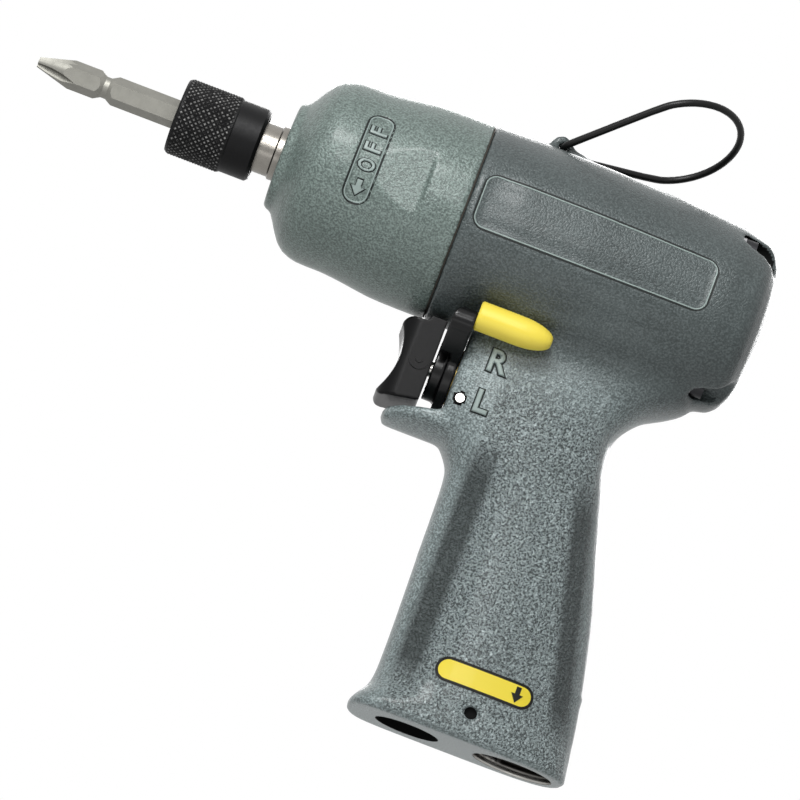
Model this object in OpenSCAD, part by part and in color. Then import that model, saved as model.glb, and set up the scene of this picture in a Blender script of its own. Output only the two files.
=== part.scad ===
// Pistol-grip pneumatic screwdriver with an impact mechanism and a quick-change chuck.
// The origin lies on the spindle axis at the mouth of the bit socket.
// The work is toward -X, the handle hangs toward -Z, and -Y is the side with the reversing knob.

/* [Screwdriver bit] */
// Size of the hexagon across its flats
bit_af = 6.35; // [5:0.05:6.35]
// Whole length of the double-ended bit
bit_l = 65; // [55:1:70]
// How far the bit stands out of the socket
bit_out = 37.5; // [30:0.5:42]
// Length of the cone at each end
tip_l = 9; // [7:0.5:10]
// Radius of the blunt end of the cone
tip_r = 1.3; // [0.9:0.1:1.8]
// Radius of the wheel that grinds the flutes
flute_wheel_r = 20; // [16:0.5:24]
// Thickness of the cross blades that stay between the flutes
blade_t = 1.1; // [0.8:0.1:1.5]
// Distance from a tip to the middle of the catch groove
catch_at = 17.8; // [14:0.1:20]
// Width of the catch groove at its rims
catch_w = 5; // [4:0.1:6]
// Width of the bottom of the catch groove
catch_waist_w = 1.2; // [0.6:0.1:2]
// Radius left at the bottom of the catch groove
catch_r = 2.7; // [2:0.1:3]
// Turn of the hexagon about the spindle
hex_turn = 15; // [0:1:59]

/* [Chuck] */
// Outer radius of the knurled sleeve
sleeve_r = 9.8; // [9.4:0.1:12]
// Length of the sleeve
sleeve_l = 21.7; // [21:0.1:24]
// How far the sleeve stands out in front of the anvil
sleeve_lead = 1; // [0.5:0.1:1.5]
// Length of the knurled band
knurl_l = 14.2; // [8:0.1:16]
// Depth of the knurl below the sleeve's radius
knurl_d = 0.5; // [0.2:0.05:0.6]
// Chamfer at the rear edge of the sleeve
sleeve_chamfer = 0.8; // [0.3:0.1:1.2]
// Wall of the sleeve around its spring
sleeve_wall = 1.5; // [1:0.1:1.8]
// Travel of the sleeve toward the work
sleeve_travel = 3.2; // [1:0.1:3.5]
// Wire radius of the sleeve spring
sleeve_wire_r = 0.4; // [0.3:0.05:0.5]
// Radius of the detent ball
ball_r = 1.5; // [1:0.05:1.55]

/* [Anvil] */
// Radius of the anvil shaft
anvil_r = 6.4; // [6.3:0.05:7]
// Radius of the step behind the chuck
anvil_step_r = 6.9; // [6.9:0.1:7.5]
// Depth of the hexagonal socket
socket_l = 29; // [28:0.5:32]
// Radius of the anvil's thrust collar
collar_r = 9.6; // [8.5:0.1:10]
// Radius of the anvil's rear pilot
pilot_r = 4; // [3:0.1:4.5]

/* [Hammer case] */
// Station of the front face of the case
case_front = 26.6; // [26:0.1:28]
// Length of the case
case_l = 46.4; // [45:0.1:48]
// Largest radius of the case
case_r = 25.3; // [25:0.1:27]
// Thickness of the front wall
case_front_wall = 10.4; // [9:0.1:12]
// Depth of the flat on each side of the case
flat_d = 1.5; // [0.8:0.1:2]
// Length of case behind the flats
flat_back = 10.2; // [8:0.1:14]
// Length of the pill-shaped badge recess, around the case
badge_l = 24; // [18:0.5:26]
// Width of the badge recess
badge_w = 6; // [4:0.5:8]
// Distance of the badge behind the front face
badge_setback = 20.6; // [18:0.1:24]
// Rise of the badge above the side of the case, in degrees
badge_angle = 3.7; // [0:0.1:10]
// Depth of the badge recess and of the name panel
recess_d = 0.5; // [0.3:0.05:0.8]

/* [Impact mechanism] */
// Thickness of the cage's front plate
cage_front_t = 2; // [1.5:0.1:2.5]
// Thickness of the cage's rear plate
cage_rear_t = 4; // [3:0.1:4.5]
// Length of each hammer
hammer_l = 8.4; // [7:0.1:8.6]
// Radius of the hammer pins
hammer_pin_r = 1.8; // [1.5:0.1:1.9]

/* [Motor] */
// Length of the cylinder
cylinder_l = 45; // [40:0.5:45]
// Length of each end plate
plate_l = 9; // [8.5:0.1:9]
// Number of vanes
vanes = 6; // [4:1:8]
// Thickness of a vane
vane_t = 1.5; // [1:0.1:2]
// Depth of a vane
vane_d = 5.5; // [4:0.1:6]
// Bore radius of the ball bearings
bearing_bore_r = 4; // [4:0.1:4.2]
// Width of the ball bearings
bearing_w = 7; // [6:0.1:7]
// Balls in a bearing
bearing_balls = 7; // [6:1:8]
// Teeth of the rotor spline
spline_teeth = 8; // [6:1:10]

/* [Housing] */
// Length of the motor barrel
barrel_l = 78.6; // [78:0.1:82]
// How much larger the barrel is than the case
barrel_step = 0.6; // [0.3:0.1:1]
// Length of the name panel
panel_l = 60; // [40:1:62]
// Width of the name panel
panel_w = 14; // [10:0.5:16]
// Corner radius of the name panel
panel_corner_r = 3.2; // [1:0.1:5]
// Start of the name panel behind the barrel's front face
panel_front = 2.4; // [1.5:0.1:6]
// Rise of the name panel above the side of the barrel, in degrees
panel_angle = 3; // [0:0.5:6]

/* [Grip] */
// Depth of the grip from the spindle down to its foot
grip_drop = 122; // [119:0.5:126]
// Front-to-back size that the grip's outline follows
grip_depth = 56; // [55:0.5:60]
// Station of the foremost point of the grip's foot
grip_front = 89; // [88.5:0.1:89.5]
// Width of the grip
grip_w = 29; // [28.5:0.1:32]
// Station of the flat face behind the lever
block_front = 85.5; // [85.5:0.1:86]
// Width of the finger guard
guard_w = 23; // [18:0.5:24]
// Forward end of the finger guard
guard_front = 72; // [71:0.1:74]

/* [Trigger] */
// Width of the trigger
trigger_w = 18; // [14:0.5:18.4]
// Front-to-back size of the trigger
trigger_l = 10.6; // [10:0.1:11]
// Height of the trigger
trigger_h = 22.4; // [20:0.1:22.4]
// Travel of the trigger
trigger_travel = 3; // [1:0.1:3.2]
// Radius of the trigger stem
stem_r = 2; // [1.5:0.1:2.2]

/* [Reversing lever] */
// Radius of the lever's hub
lever_hub_r = 9.8; // [8:0.1:9.9]
// Thickness of the lever's hub
lever_hub_t = 2.6; // [2:0.1:2.6]
// Front-to-back size of the lever's arm
lever_arm_t = 5.6; // [4:0.1:5.6]
// Height of the knob above the valve axis
knob_rise = 12.4; // [11:0.1:12.6]
// Distance of the knob to the side of the valve axis
knob_side = 18.8; // [18.8:0.1:20]
// Radius of the knob
knob_r = 3.7; // [3:0.1:3.8]
// Length of the knob
knob_l = 19.1; // [15:0.1:20]
// Turn of the lever between its two ends, in degrees
lever_turn = 54; // [40:1:56]

/* [Valve] */
// Distance of the valve axis below the barrel
valve_below = 11.1; // [11:0.1:11.4]
// Radius of the reversing valve
valve_r = 7; // [6.5:0.1:7]
// Length of the reversing valve
valve_l = 18; // [16:0.1:18.4]
// Wall of the reversing valve
valve_wall = 2.6; // [2:0.1:2.8]
// Radius of the throttle poppet
poppet_r = 5; // [4.6:0.1:5.2]
// Wire radius of the throttle spring
throttle_wire_r = 0.4; // [0.3:0.05:0.5]

/* [Air ports] */
// Distance of the inlet behind the front of the foot
inlet_setback = 42.9; // [42:0.1:43.5]
// Radius of the machined recess around the inlet
inlet_recess_r = 10.1; // [9:0.1:10.4]
// Depth of that recess
inlet_recess_d = 6; // [4:0.1:7]
// Radius of the inlet bushing
bushing_r = 8.2; // [8:0.1:8.4]
// Length of the inlet bushing
bushing_l = 15; // [12:0.5:16]
// Radius of the inlet thread's wall
thread_r = 5.9; // [5:0.05:6.2]
// Distance of the exhaust port behind the front of the foot
exhaust_setback = 15.8; // [14:0.1:17]
// Radius of the exhaust port
exhaust_r = 8.1; // [7:0.1:8.3]
// Depth of the exhaust port below its muffler
exhaust_l = 18; // [12:1:20]

/* [Hanger] */
// Wire radius of the hanging bail
bail_wire_r = 0.95; // [0.8:0.05:1.1]
// Length of the bail from its pivot
bail_l = 44.8; // [38:0.2:46]
// Radius of the bail's round end
bail_end_r = 15.4; // [10:0.2:16]
// Rise of the bail above the spindle direction, in degrees
bail_tilt = 26; // [20:1:60]
// Twist of the bail about its own length, in degrees
bail_twist = 24; // [0:1:26]
// Width of the cast lug that carries the bail
lug_w = 7; // [6:0.1:9]

/* [Fasteners] */
// Turn of each case screw about the spindle, from the top
screw_turns = [37.4, 158, 202, 322.6];
// Radius of the case screws
screw_r = 1.75; // [1.5:0.05:1.8]
// Radius of the screw heads
screw_head_r = 2.9; // [2.6:0.1:3]
// Height of the screw heads
screw_head_h = 3; // [2.5:0.1:3.2]
// Radius of the cross pin that holds the reversing valve
cross_pin_r = 1.1; // [0.8:0.05:1.2]
// Distance of the foot's cross pin behind the front of the foot
foot_pin_setback = 28.4; // [27:0.1:30]
// Height of the foot's cross pin above the foot
foot_pin_rise = 7; // [5:0.5:16]

/* [Hidden] */
$fn = 72;

// Clearances and small allowances
over = 1;
running_gap = 0.05;
slip_gap = 0.1;
seat_gap = 0.2;
body_gap = 0.3;
edge_break = 0.4;
hex_turn_share = 1 / cos(30);

// Radii that follow the size of the body, as shares of the case or the barrel
barrel_r = case_r + barrel_step;
chamber_r = case_r * 0.692;
screw_pitch_r = case_r * 0.798;
cage_r = chamber_r * 0.966;
hammer_r = chamber_r * 0.76;
hammer_hole_r = chamber_r * 0.549;
pin_pitch_r = chamber_r * 0.788;
jaw_r = chamber_r * 0.497;
impact_r = chamber_r * 0.371;
cylinder_r = barrel_r * 0.633;
cylinder_bore_r = barrel_r * 0.56;
rotor_r = barrel_r * 0.51;
bearing_r = barrel_r * 0.425;
eccentric = cylinder_bore_r - rotor_r - slip_gap;

// Stations along the spindle
bit_tip = -bit_out;
bit_tail = bit_l - bit_out;
tail_catch = bit_tail - catch_at;
sleeve_ring_t = 0.9;
front_ring_at = 0.5;
spring_washer_t = 0.8;
spring_front = front_ring_at + sleeve_ring_t + spring_washer_t;
spring_rest_l = 3;
land_front = spring_front + sleeve_travel + spring_rest_l;
land_back = 16;
ring_groove_d = 0.7;
land_r = anvil_r + running_gap;
cavity_r = sleeve_r - sleeve_wall;
sleeve_front = -sleeve_lead;
sleeve_back = sleeve_front + sleeve_l;
knurl_back = sleeve_front + knurl_l;
step_l = 2;
step_front = case_front - step_l;
case_inner = case_front + case_front_wall;
case_back = case_front + case_l;
flange_t = 1.5;
flange_r = collar_r + 1;
collar_front = case_inner + flange_t + slip_gap;
collar_t = 2.2;
cage_front = collar_front + collar_t + seat_gap;
hammer_front = cage_front + cage_front_t + body_gap;
hammer_gap = 0.4;
second_hammer = hammer_front + hammer_l + hammer_gap;
cage_rear = second_hammer + hammer_l + body_gap;
pilot_l = 3;
hub_l = 6;
hub_r = 8;
hub_back = cage_rear + cage_rear_t + hub_l;
gasket_t = 0.4;
barrel_front = case_back + gasket_t;
cylinder_front = barrel_front + plate_l;
cylinder_back = cylinder_front + cylinder_l;
rear_bearing_front = cylinder_back + plate_l - bearing_w;
motor_back = cylinder_back + plate_l;
motor_bore_r = cylinder_r + running_gap;
shaft_tail_l = 1.6;
shaft_tail = motor_back + shaft_tail_l;
tail_pocket_r = bearing_r + 1;
dowel_r = 1;
dowel_z = (cylinder_r + cylinder_bore_r - eccentric) / 2;
tail_pocket_l = 4;
barrel_back = barrel_front + barrel_l;
screw_recess_d = 12.6;
screw_recess = barrel_back - screw_recess_d;
screw_recess_r = screw_head_r + 0.6;
washer_t = 0.8;
screw_reach = 12;
screw_tip = case_back - screw_reach;

// Stations of the valve train
valve_z = -barrel_r - valve_below;
valve_front = block_front;
valve_back = valve_front + valve_l;
valve_bore_r = valve_r + running_gap;
guide_front = valve_back + seat_gap;
guide_l = 3.8;
seal_t = 0.6;
poppet_t = 2.4;
poppet_front = guide_front + guide_l + seal_t;
spring_room = 8.6;
chamber_back = poppet_front + poppet_t + spring_room;
valve_chamber_r = valve_r - 2 * edge_break;
throttle_coil_r = poppet_r - 3 * edge_break;
lever_back = block_front - seat_gap;
lever_web = lever_back - lever_hub_t;
lever_front = lever_back - lever_arm_t;
lever_gap = 0.5;
trigger_back = lever_front - lever_gap;
trigger_front = trigger_back - trigger_l;
trigger_over = 10.6;
trigger_top = valve_z + trigger_over;
trigger_foot = trigger_top - trigger_h;

// Places of the reversing lever's parts
arm_root_r = 4.4;
arm_tip_r = 3.2;
arm_tip_y = edge_break - knob_side;
arm_tip_z = knob_rise - 2.4;
lever_core_r = 7.6;
lever_ball_r = 1;
lever_ball_y = valve_r + lever_ball_r + edge_break;
lever_spring_l = 6;
cross_pin_x = valve_front + 2.9;
cross_pin_z = valve_z - valve_r - seat_gap;

// Finger guard below the trigger
guard_top = trigger_foot - 1.2;
guard_rise = 2.2;
guard_t = 3.6;
guard_root_setback = 8.5;
guard_root = block_front + guard_root_setback;
guard_under_r = 26.7;

// Reach of the fillet between the barrel and the grip
flare_reach = 2;

// Places of the air ports
inlet_x = grip_front + inlet_setback;
exhaust_x = grip_front + exhaust_setback;
foot_z = -grip_drop;
inlet_top = foot_z + inlet_recess_d + bushing_l;
passage_r = 4.5;
exhaust_duct_r = 5;
muffler_r = exhaust_r - 0.7;
muffler_l = 12;
muffler_foot = foot_z + exhaust_l;
screen_seat_r = thread_r + 0.6;
screen_seat_d = 0.9;
foot_pin_r = 1.6;
foot_pin_x = grip_front + foot_pin_setback;
foot_pin_z = foot_z + foot_pin_rise;

// Place of the bail's pivot
lug_setback = 17.2;
lug_x = barrel_front + lug_setback;
lug_hole_r = bail_wire_r + 0.25;
lug_r = 3;
lug_z = barrel_r + edge_break + seat_gap;
bail_bend = 1.8;
bail_sides = 12;
bail_arc_steps = 22;
bail_reach = bail_l - bail_end_r;
bail_pin_y = lug_w / 2 + bail_wire_r + 2 * body_gap;
bail_spread = asin((bail_end_r - bail_pin_y) / bail_reach);

// Bearings, seals and springs
bearing_ball_share = 0.1774926;
race_groove_d = 0.35;
bearing_pitch_r = (bearing_bore_r + bearing_r) / 2;
bearing_ball_r = bearing_r * bearing_ball_share;
bearing_race = bearing_pitch_r - bearing_bore_r - bearing_ball_r + race_groove_d;
shaft_r = bearing_bore_r;
spline_r = shaft_r - 0.6;
spline_tooth = 1.2;
bar_angle = 24;
bushing_wall = 2.1;
seal_l = 3;
bushing_front = case_front + seal_l;
ball_at = bit_af / 2 + running_gap + ball_r;
badge_x = case_front + badge_setback;
groove_w = 2.6;
o_ring_wire_r = 0.7;
valve_ring_x = valve_back - groove_w;
coil_sides = 6;
coil_steps = 10;

// Outline of the hammer case from its nose: share of the length, share of the largest radius
case_outline_shares = [
    [0, 0.515], [0.018, 0.54], [0.045, 0.556], [0.072, 0.63], [0.100, 0.715], [0.142, 0.818],
    [0.182, 0.877], [0.226, 0.909], [0.267, 0.925], [0.33, 0.929], [0.39, 0.929], [0.435, 0.933],
    [0.52, 0.949], [0.603, 0.970], [0.687, 0.990], [0.77, 0.998], [0.86, 1], [1, 1]
];

// Outline of the motor barrel from its front face: share of the length, share of the radius
barrel_outline_shares = [
    [0, 0.978], [0.006, 0.985], [0.084, 0.988], [0.16, 1], [0.40, 0.992], [0.60, 0.967],
    [0.755, 0.942], [0.804, 0.927], [0.853, 0.915], [0.878, 0.892], [0.903, 0.873],
    [0.928, 0.857], [0.953, 0.795], [0.977, 0.652], [0.992, 0.45], [1, 0.25]
];

// Form of the grip: shares of the drop, of the depth in front and behind, of the width,
// and how far the fluted section has taken over from the plain block
grip_shares = [
    [0.120, -0.12, 0.97, 1.42, 0], [0.148, -0.12, 0.965, 1.30, 0], [0.165, -0.12, 0.96, 1.19, 0],
    [0.182, -0.12, 0.958, 1.08, 0], [0.200, -0.12, 0.95, 1.03, 0], [0.224, -0.12, 0.88, 1, 0],
    [0.244, -0.12, 0.80, 1, 0], [0.262, -0.12, 0.756, 1, 0], [0.287, -0.12, 0.714, 1, 0],
    [0.312, -0.12, 0.688, 1, 0], [0.338, -0.12, 0.681, 1, 0.05], [0.388, -0.10, 0.697, 0.99, 0.1],
    [0.43, -0.04, 0.726, 0.98, 0.25], [0.465, 0.020, 0.745, 0.97, 0.45],
    [0.49, 0.045, 0.761, 0.96, 0.6], [0.541, 0.054, 0.791, 0.95, 0.85],
    [0.643, 0.059, 0.857, 0.94, 1], [0.743, 0.065, 0.909, 0.95, 1],
    [0.845, 0.070, 0.954, 0.97, 1], [0.896, 0.070, 0.972, 0.98, 0.9],
    [0.92, 0.068, 0.978, 0.99, 0.7], [0.945, 0.058, 0.986, 1.01, 0.4],
    [0.968, 0.026, 0.992, 1.03, 0.1], [0.985, 0.004, 0.998, 1.04, 0], [0.994, 0, 1, 1.035, 0],
    [1, 0.008, 0.994, 1.01, 0]
];

// Half section of the grip from front to back: share of the depth, share of half the width
block_section_shares = [
    [0, 0], [0.004, 0.30], [0.012, 0.52], [0.028, 0.70], [0.055, 0.84], [0.10, 0.93],
    [0.18, 0.985], [0.30, 1], [0.45, 1], [0.60, 1], [0.72, 0.985], [0.81, 0.94],
    [0.885, 0.84], [0.94, 0.69], [0.975, 0.48], [0.993, 0.25], [1, 0]
];
fluted_section_shares = [
    [0, 0], [0.010, 0.26], [0.034, 0.45], [0.075, 0.575], [0.125, 0.64], [0.18, 0.71],
    [0.25, 0.87], [0.32, 0.97], [0.42, 1], [0.56, 1], [0.68, 0.975], [0.765, 0.875],
    [0.84, 0.75], [0.905, 0.63], [0.955, 0.45], [0.988, 0.24], [1, 0]
];

ring_steps = 2;
section_count = len(block_section_shares);

function mixed(a, b, k) = a + (b - a) * k;

// A cylinder along X between two stations
module rod(r, from, to) {
    translate([from, 0, 0]) rotate([0, 90, 0]) cylinder(r = r, h = to - from);
}

// A ring along X between two stations
module ring(outer_r, inner_r, from, to) {
    difference() {
        rod(outer_r, from, to);
        rod(inner_r, from - over, to + over);
    }
}

// A body turned about the spindle from points of station and radius
module turned(points) {
    rotate([0, 90, 0]) rotate_extrude() polygon([for (p = points) [p[1], p[0]]]);
}

// A hexagonal bar along X
module hex_bar(af, from, to) {
    translate([from, 0, 0]) rotate([0, 90, 0]) rotate([0, 0, hex_turn])
        cylinder(r = af / 2 * hex_turn_share, h = to - from, $fn = 6);
}

// Copies at the four case screws
module at_screws() {
    for (turn = screw_turns) rotate([turn, 0, 0]) translate([0, 0, screw_pitch_r]) children();
}

// A pin along Y through a place in the XZ plane
module cross_rod(r, length, x, z) {
    translate([x, 0, z]) rotate([90, 0, 0]) cylinder(r = r, h = length, center = true);
}

// An O-ring around the X axis
module o_ring(mid_r, wire_r, x) {
    translate([x, 0, 0]) rotate([0, 90, 0]) rotate_extrude()
        translate([mid_r, 0]) circle(r = wire_r, $fn = 32);
}

// A coil spring along X: one unbroken tube with flat-lying ends
module coil(coil_r, wire_r, from, to, turns) {
    count = turns * coil_steps;
    rise = to - from - 2 * wire_r;
    points = [for (i = [0 : count], j = [0 : coil_sides - 1])
        let (a = 360 * i / coil_steps, b = 360 * j / coil_sides, r = coil_r + wire_r * cos(b))
        [from + wire_r + rise * i / count + wire_r * sin(b), r * cos(a), r * sin(a)]];
    walls = [for (i = [0 : count - 1], j = [0 : coil_sides - 1])
        let (k = (j + 1) % coil_sides, p = i * coil_sides + j, q = i * coil_sides + k)
        each [[p, q, p + coil_sides], [q, q + coil_sides, p + coil_sides]]];
    ends = [for (j = [1 : coil_sides - 2])
        let (last = count * coil_sides)
        each [[0, j + 1, j], [last, last + j, last + j + 1]]];
    polyhedron(points, concat(walls, ends));
}

// Flutes of a cross point that looks toward -X: a wheel with a sharp rim runs out of the bar
module cross_flutes() {
    for (quarter = [0 : 3]) rotate([90 * quarter + 45, 0, 0])
        translate([0, 0, blade_t / 2 * sqrt(2) + flute_wheel_r]) rotate([90, 0, 0]) rotate_extrude()
            polygon([
                [flute_wheel_r, 0], [flute_wheel_r - bit_af, bit_af], [flute_wheel_r - bit_af, -bit_af]
            ]);
}

// The bit's turned form, which the hexagon is cut to
module bit_turning() {
    corner = bit_af / 2 * hex_turn_share + slip_gap;
    rim = catch_w / 2;
    waist = catch_waist_w / 2;
    turned([
        [bit_tip, 0], [bit_tip, tip_r], [bit_tip + tip_l, corner],
        [bit_tip + catch_at - rim, corner], [bit_tip + catch_at - waist, catch_r],
        [bit_tip + catch_at + waist, catch_r], [bit_tip + catch_at + rim, corner],
        [tail_catch - rim, corner], [tail_catch - waist, catch_r],
        [tail_catch + waist, catch_r], [tail_catch + rim, corner],
        [bit_tail - tip_l, corner], [bit_tail, tip_r], [bit_tail, 0]
    ]);
}

module screwdriver_bit() {
    color([0.66, 0.63, 0.57]) difference() {
        intersection() {
            hex_bar(bit_af, bit_tip, bit_tail);
            bit_turning();
        }
        translate([bit_tip, 0, 0]) cross_flutes();
        translate([bit_tail, 0, 0]) mirror([1, 0, 0]) cross_flutes();
    }
}

// Sleeve: a lip that runs on the anvil, a cavity for the spring, the land over the ball
module chuck_sleeve() {
    stop_r = anvil_r + ring_groove_d + 2 * body_gap;
    color([0.10, 0.10, 0.11]) difference() {
        turned([
            [sleeve_front, 0], [sleeve_front, sleeve_r - edge_break],
            [sleeve_front + edge_break, sleeve_r], [knurl_back, sleeve_r],
            [knurl_back + knurl_d, sleeve_r - knurl_d],
            [sleeve_back - sleeve_chamfer, sleeve_r - knurl_d],
            [sleeve_back, sleeve_r - knurl_d - sleeve_chamfer], [sleeve_back, 0]
        ]);
        rod(land_r, sleeve_front - over, sleeve_back + over);
        rod(cavity_r, sleeve_front - over, land_front);
        rod(stop_r, land_back, sleeve_back + over);
    }
}

module sleeve_spring() {
    gap_r = (cavity_r + anvil_r) / 2;
    color("silver") coil(gap_r, sleeve_wire_r, spring_front, land_front, 4);
}

module spring_washer() {
    color("dimgray") ring(cavity_r - slip_gap, anvil_r, front_ring_at + sleeve_ring_t, spring_front);
}

module sleeve_snap_ring() {
    color("silver") ring(anvil_r + ring_groove_d, anvil_r - ring_groove_d, front_ring_at,
        front_ring_at + sleeve_ring_t);
}

module sleeve_stop_ring() {
    color("silver") ring(anvil_r + ring_groove_d, anvil_r - ring_groove_d, land_back,
        land_back + sleeve_ring_t);
}

// The ball lies over a flat of the bit, just clear of it and of the sleeve's land
module detent_ball() {
    color("gainsboro") rotate([hex_turn, 0, 0]) translate([tail_catch, ball_at, 0]) sphere(r = ball_r);
}

// One jaw of the anvil beside a hammer
module anvil_jaw(from, angle) {
    jaw_w = impact_r;
    rotate([angle, 0, 0]) intersection() {
        rod(jaw_r, from + slip_gap, from + hammer_l - slip_gap);
        translate([from + slip_gap, -jaw_w / 2, 0]) cube([hammer_l - 2 * slip_gap, jaw_w, jaw_r]);
    }
}

module anvil() {
    socket_af = bit_af + 3 * running_gap;
    color([0.78, 0.74, 0.68]) difference() {
        union() {
            turned([
                [0, 0], [0, anvil_r - edge_break], [edge_break, anvil_r], [step_front, anvil_r],
                [step_front + edge_break, anvil_step_r], [case_front - slip_gap, anvil_step_r],
                [case_front - slip_gap, anvil_r], [collar_front, anvil_r], [collar_front, collar_r],
                [collar_front + collar_t, collar_r], [collar_front + collar_t, impact_r + 1],
                [hammer_front - slip_gap, impact_r + 1], [hammer_front - slip_gap, impact_r],
                [cage_rear - slip_gap, impact_r], [cage_rear - slip_gap, pilot_r],
                [cage_rear + pilot_l, pilot_r], [cage_rear + pilot_l, 0]
            ]);
            anvil_jaw(hammer_front, 0);
            anvil_jaw(second_hammer, 180);
        }
        hex_bar(socket_af, -over, socket_l);
        rotate([hex_turn, 0, 0]) translate([tail_catch, 0, 0]) rotate([-90, 0, 0])
            cylinder(r = ball_r + running_gap, h = anvil_r + over);
        ring(anvil_r + over, anvil_r - ring_groove_d, front_ring_at, front_ring_at + sleeve_ring_t);
        ring(anvil_r + over, anvil_r - ring_groove_d, land_back, land_back + sleeve_ring_t);
    }
}

module anvil_bushing() {
    color([0.72, 0.53, 0.27]) difference() {
        union() {
            rod(anvil_r + bushing_wall, bushing_front, case_inner);
            rod(flange_r, case_inner, case_inner + flange_t);
        }
        rod(anvil_r + running_gap, bushing_front - over, case_inner + flange_t + over);
    }
}

module nose_seal() {
    color([0.12, 0.12, 0.12]) ring(anvil_r + bushing_wall, anvil_r + running_gap, case_front + edge_break,
        bushing_front);
}

// Places a recess for the badge or the name panel on the side toward -Y
module on_side(angle) {
    rotate([-angle, 0, 0]) rotate([90, 0, 0]) children();
}

module pill(length, width) {
    for (end = [-1, 1]) translate([0, end * (length - width) / 2]) circle(d = width);
    square([width, length - width], center = true);
}

function case_radius(x) = lookup((x - case_front) / case_l, case_outline_shares) * case_r;

module hammer_case() {
    flat_x = case_back - flat_back;
    nose_bore_r = anvil_r + bushing_wall;
    color([0.42, 0.48, 0.46]) difference() {
        turned(concat(
            [[case_front, 0]],
            [for (s = case_outline_shares) [case_front + case_l * s[0], case_r * s[1]]],
            [[case_back, 0]]
        ));
        rod(nose_bore_r, case_front - over, case_inner + over);
        rod(anvil_step_r + body_gap, case_front - over, case_front + over);
        rod(chamber_r, case_inner, case_back + over);
        for (side = [-1, 1]) translate([0, side * (case_r - flat_d + case_r / 2), 0])
            translate([case_inner, -case_r / 2, -case_r]) cube([flat_x - case_inner, case_r, 2 * case_r]);
        difference() {
            on_side(badge_angle) translate([badge_x, 0, 0])
                linear_extrude(height = case_r) pill(badge_l, badge_w);
            rod(case_radius(badge_x) - recess_d, badge_x - badge_w, badge_x + badge_w);
        }
        at_screws() rod(screw_r, screw_tip, case_back + over);
    }
}

// Bars of the cage at the hammer pins, and the splined hub
module cage_bar(side) {
    bar_r = hammer_r + body_gap;
    rotate([side > 0 ? 0 : 180, 0, 0]) intersection() {
        ring(cage_r, bar_r, cage_front + cage_front_t, cage_rear);
        translate([cage_front, 0, 0]) rotate([0, 90, 0]) linear_extrude(height = cage_rear - cage_front)
            polygon([[0, 0], [-sin(bar_angle) * 2 * cage_r, cos(bar_angle) * 2 * cage_r],
                [sin(bar_angle) * 2 * cage_r, cos(bar_angle) * 2 * cage_r]]);
    }
}

module spline(r, tooth, from, to) {
    rod(r, from, to);
    for (k = [1 : spline_teeth]) rotate([360 * k / spline_teeth, 0, 0])
        translate([from, -tooth / 2, 0]) cube([to - from, tooth, r + tooth / 2 - slip_gap]);
}

module hammer_cage() {
    color([0.50, 0.50, 0.52]) difference() {
        union() {
            rod(cage_r, cage_front, cage_front + cage_front_t);
            cage_bar(1);
            cage_bar(-1);
            rod(cage_r, cage_rear, cage_rear + cage_rear_t);
            rod(hub_r, cage_rear, hub_back);
        }
        rod(impact_r + 1 + slip_gap, cage_front - over, cage_front + cage_front_t + over);
        rod(pilot_r + slip_gap / 2, cage_rear - over, cage_rear + pilot_l + seat_gap);
        spline(spline_r + slip_gap, spline_tooth + slip_gap, cage_rear + cage_rear_t, hub_back + over);
        for (side = [-1, 1]) translate([0, side * pin_pitch_r, 0])
            rod(hammer_pin_r, cage_front - over, cage_rear + cage_rear_t - over);
    }
}

// A hammer swings on its pin; the dog inside strikes the jaw of the anvil
module hammer(from, side) {
    to = from + hammer_l;
    dog_r = impact_r + 0.6;
    dog_w = 5;
    notch_r = hammer_pin_r + slip_gap;
    clear_r = hammer_pin_r + 1.45;
    difference() {
        union() {
            ring(hammer_r, hammer_hole_r, from, to);
            difference() {
                translate([from, side > 0 ? -hammer_hole_r - over : dog_r, -dog_w / 2])
                    cube([hammer_l, hammer_hole_r + over - dog_r, dog_w]);
                rod(dog_r, from - over, to + over);
            }
        }
        translate([0, side * pin_pitch_r, 0]) rod(notch_r, from - over, to + over);
        translate([0, -side * pin_pitch_r, 0]) rod(clear_r, from - over, to + over);
    }
}

module front_hammer() {
    color([0.40, 0.40, 0.43]) hammer(hammer_front, 1);
}

module rear_hammer() {
    color([0.40, 0.40, 0.43]) hammer(second_hammer, -1);
}

module hammer_pins() {
    color("gainsboro") for (side = [-1, 1]) translate([0, side * pin_pitch_r, 0])
        rod(hammer_pin_r, cage_front, cage_rear + cage_rear_t - over);
}

module case_gasket() {
    color([0.15, 0.15, 0.15]) difference() {
        ring(case_r - edge_break, chamber_r, case_back, barrel_front);
        at_screws() rod(screw_r + slip_gap, case_back - over, barrel_front + over);
    }
}

// Rings of the grip, each a closed outline at its own height
function grip_row(u) =
    let (i = min(floor(u), len(grip_shares) - 2), k = u - i, last = len(grip_shares) - 1,
        a = grip_shares[max(i - 1, 0)], b = grip_shares[i], c = grip_shares[i + 1],
        d = grip_shares[min(i + 2, last)], h = c[0] - b[0])
    [for (j = [0 : 4]) j == 0 ? mixed(b[0], c[0], k) :
        let (m0 = (c[j] - a[j]) / (c[0] - a[0]) * h, m1 = (d[j] - b[j]) / (d[0] - b[0]) * h)
        (2 * k * k * k - 3 * k * k + 1) * b[j] + (k * k * k - 2 * k * k + k) * m0
        + (3 * k * k - 2 * k * k * k) * c[j] + (k * k * k - k * k) * m1];
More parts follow.
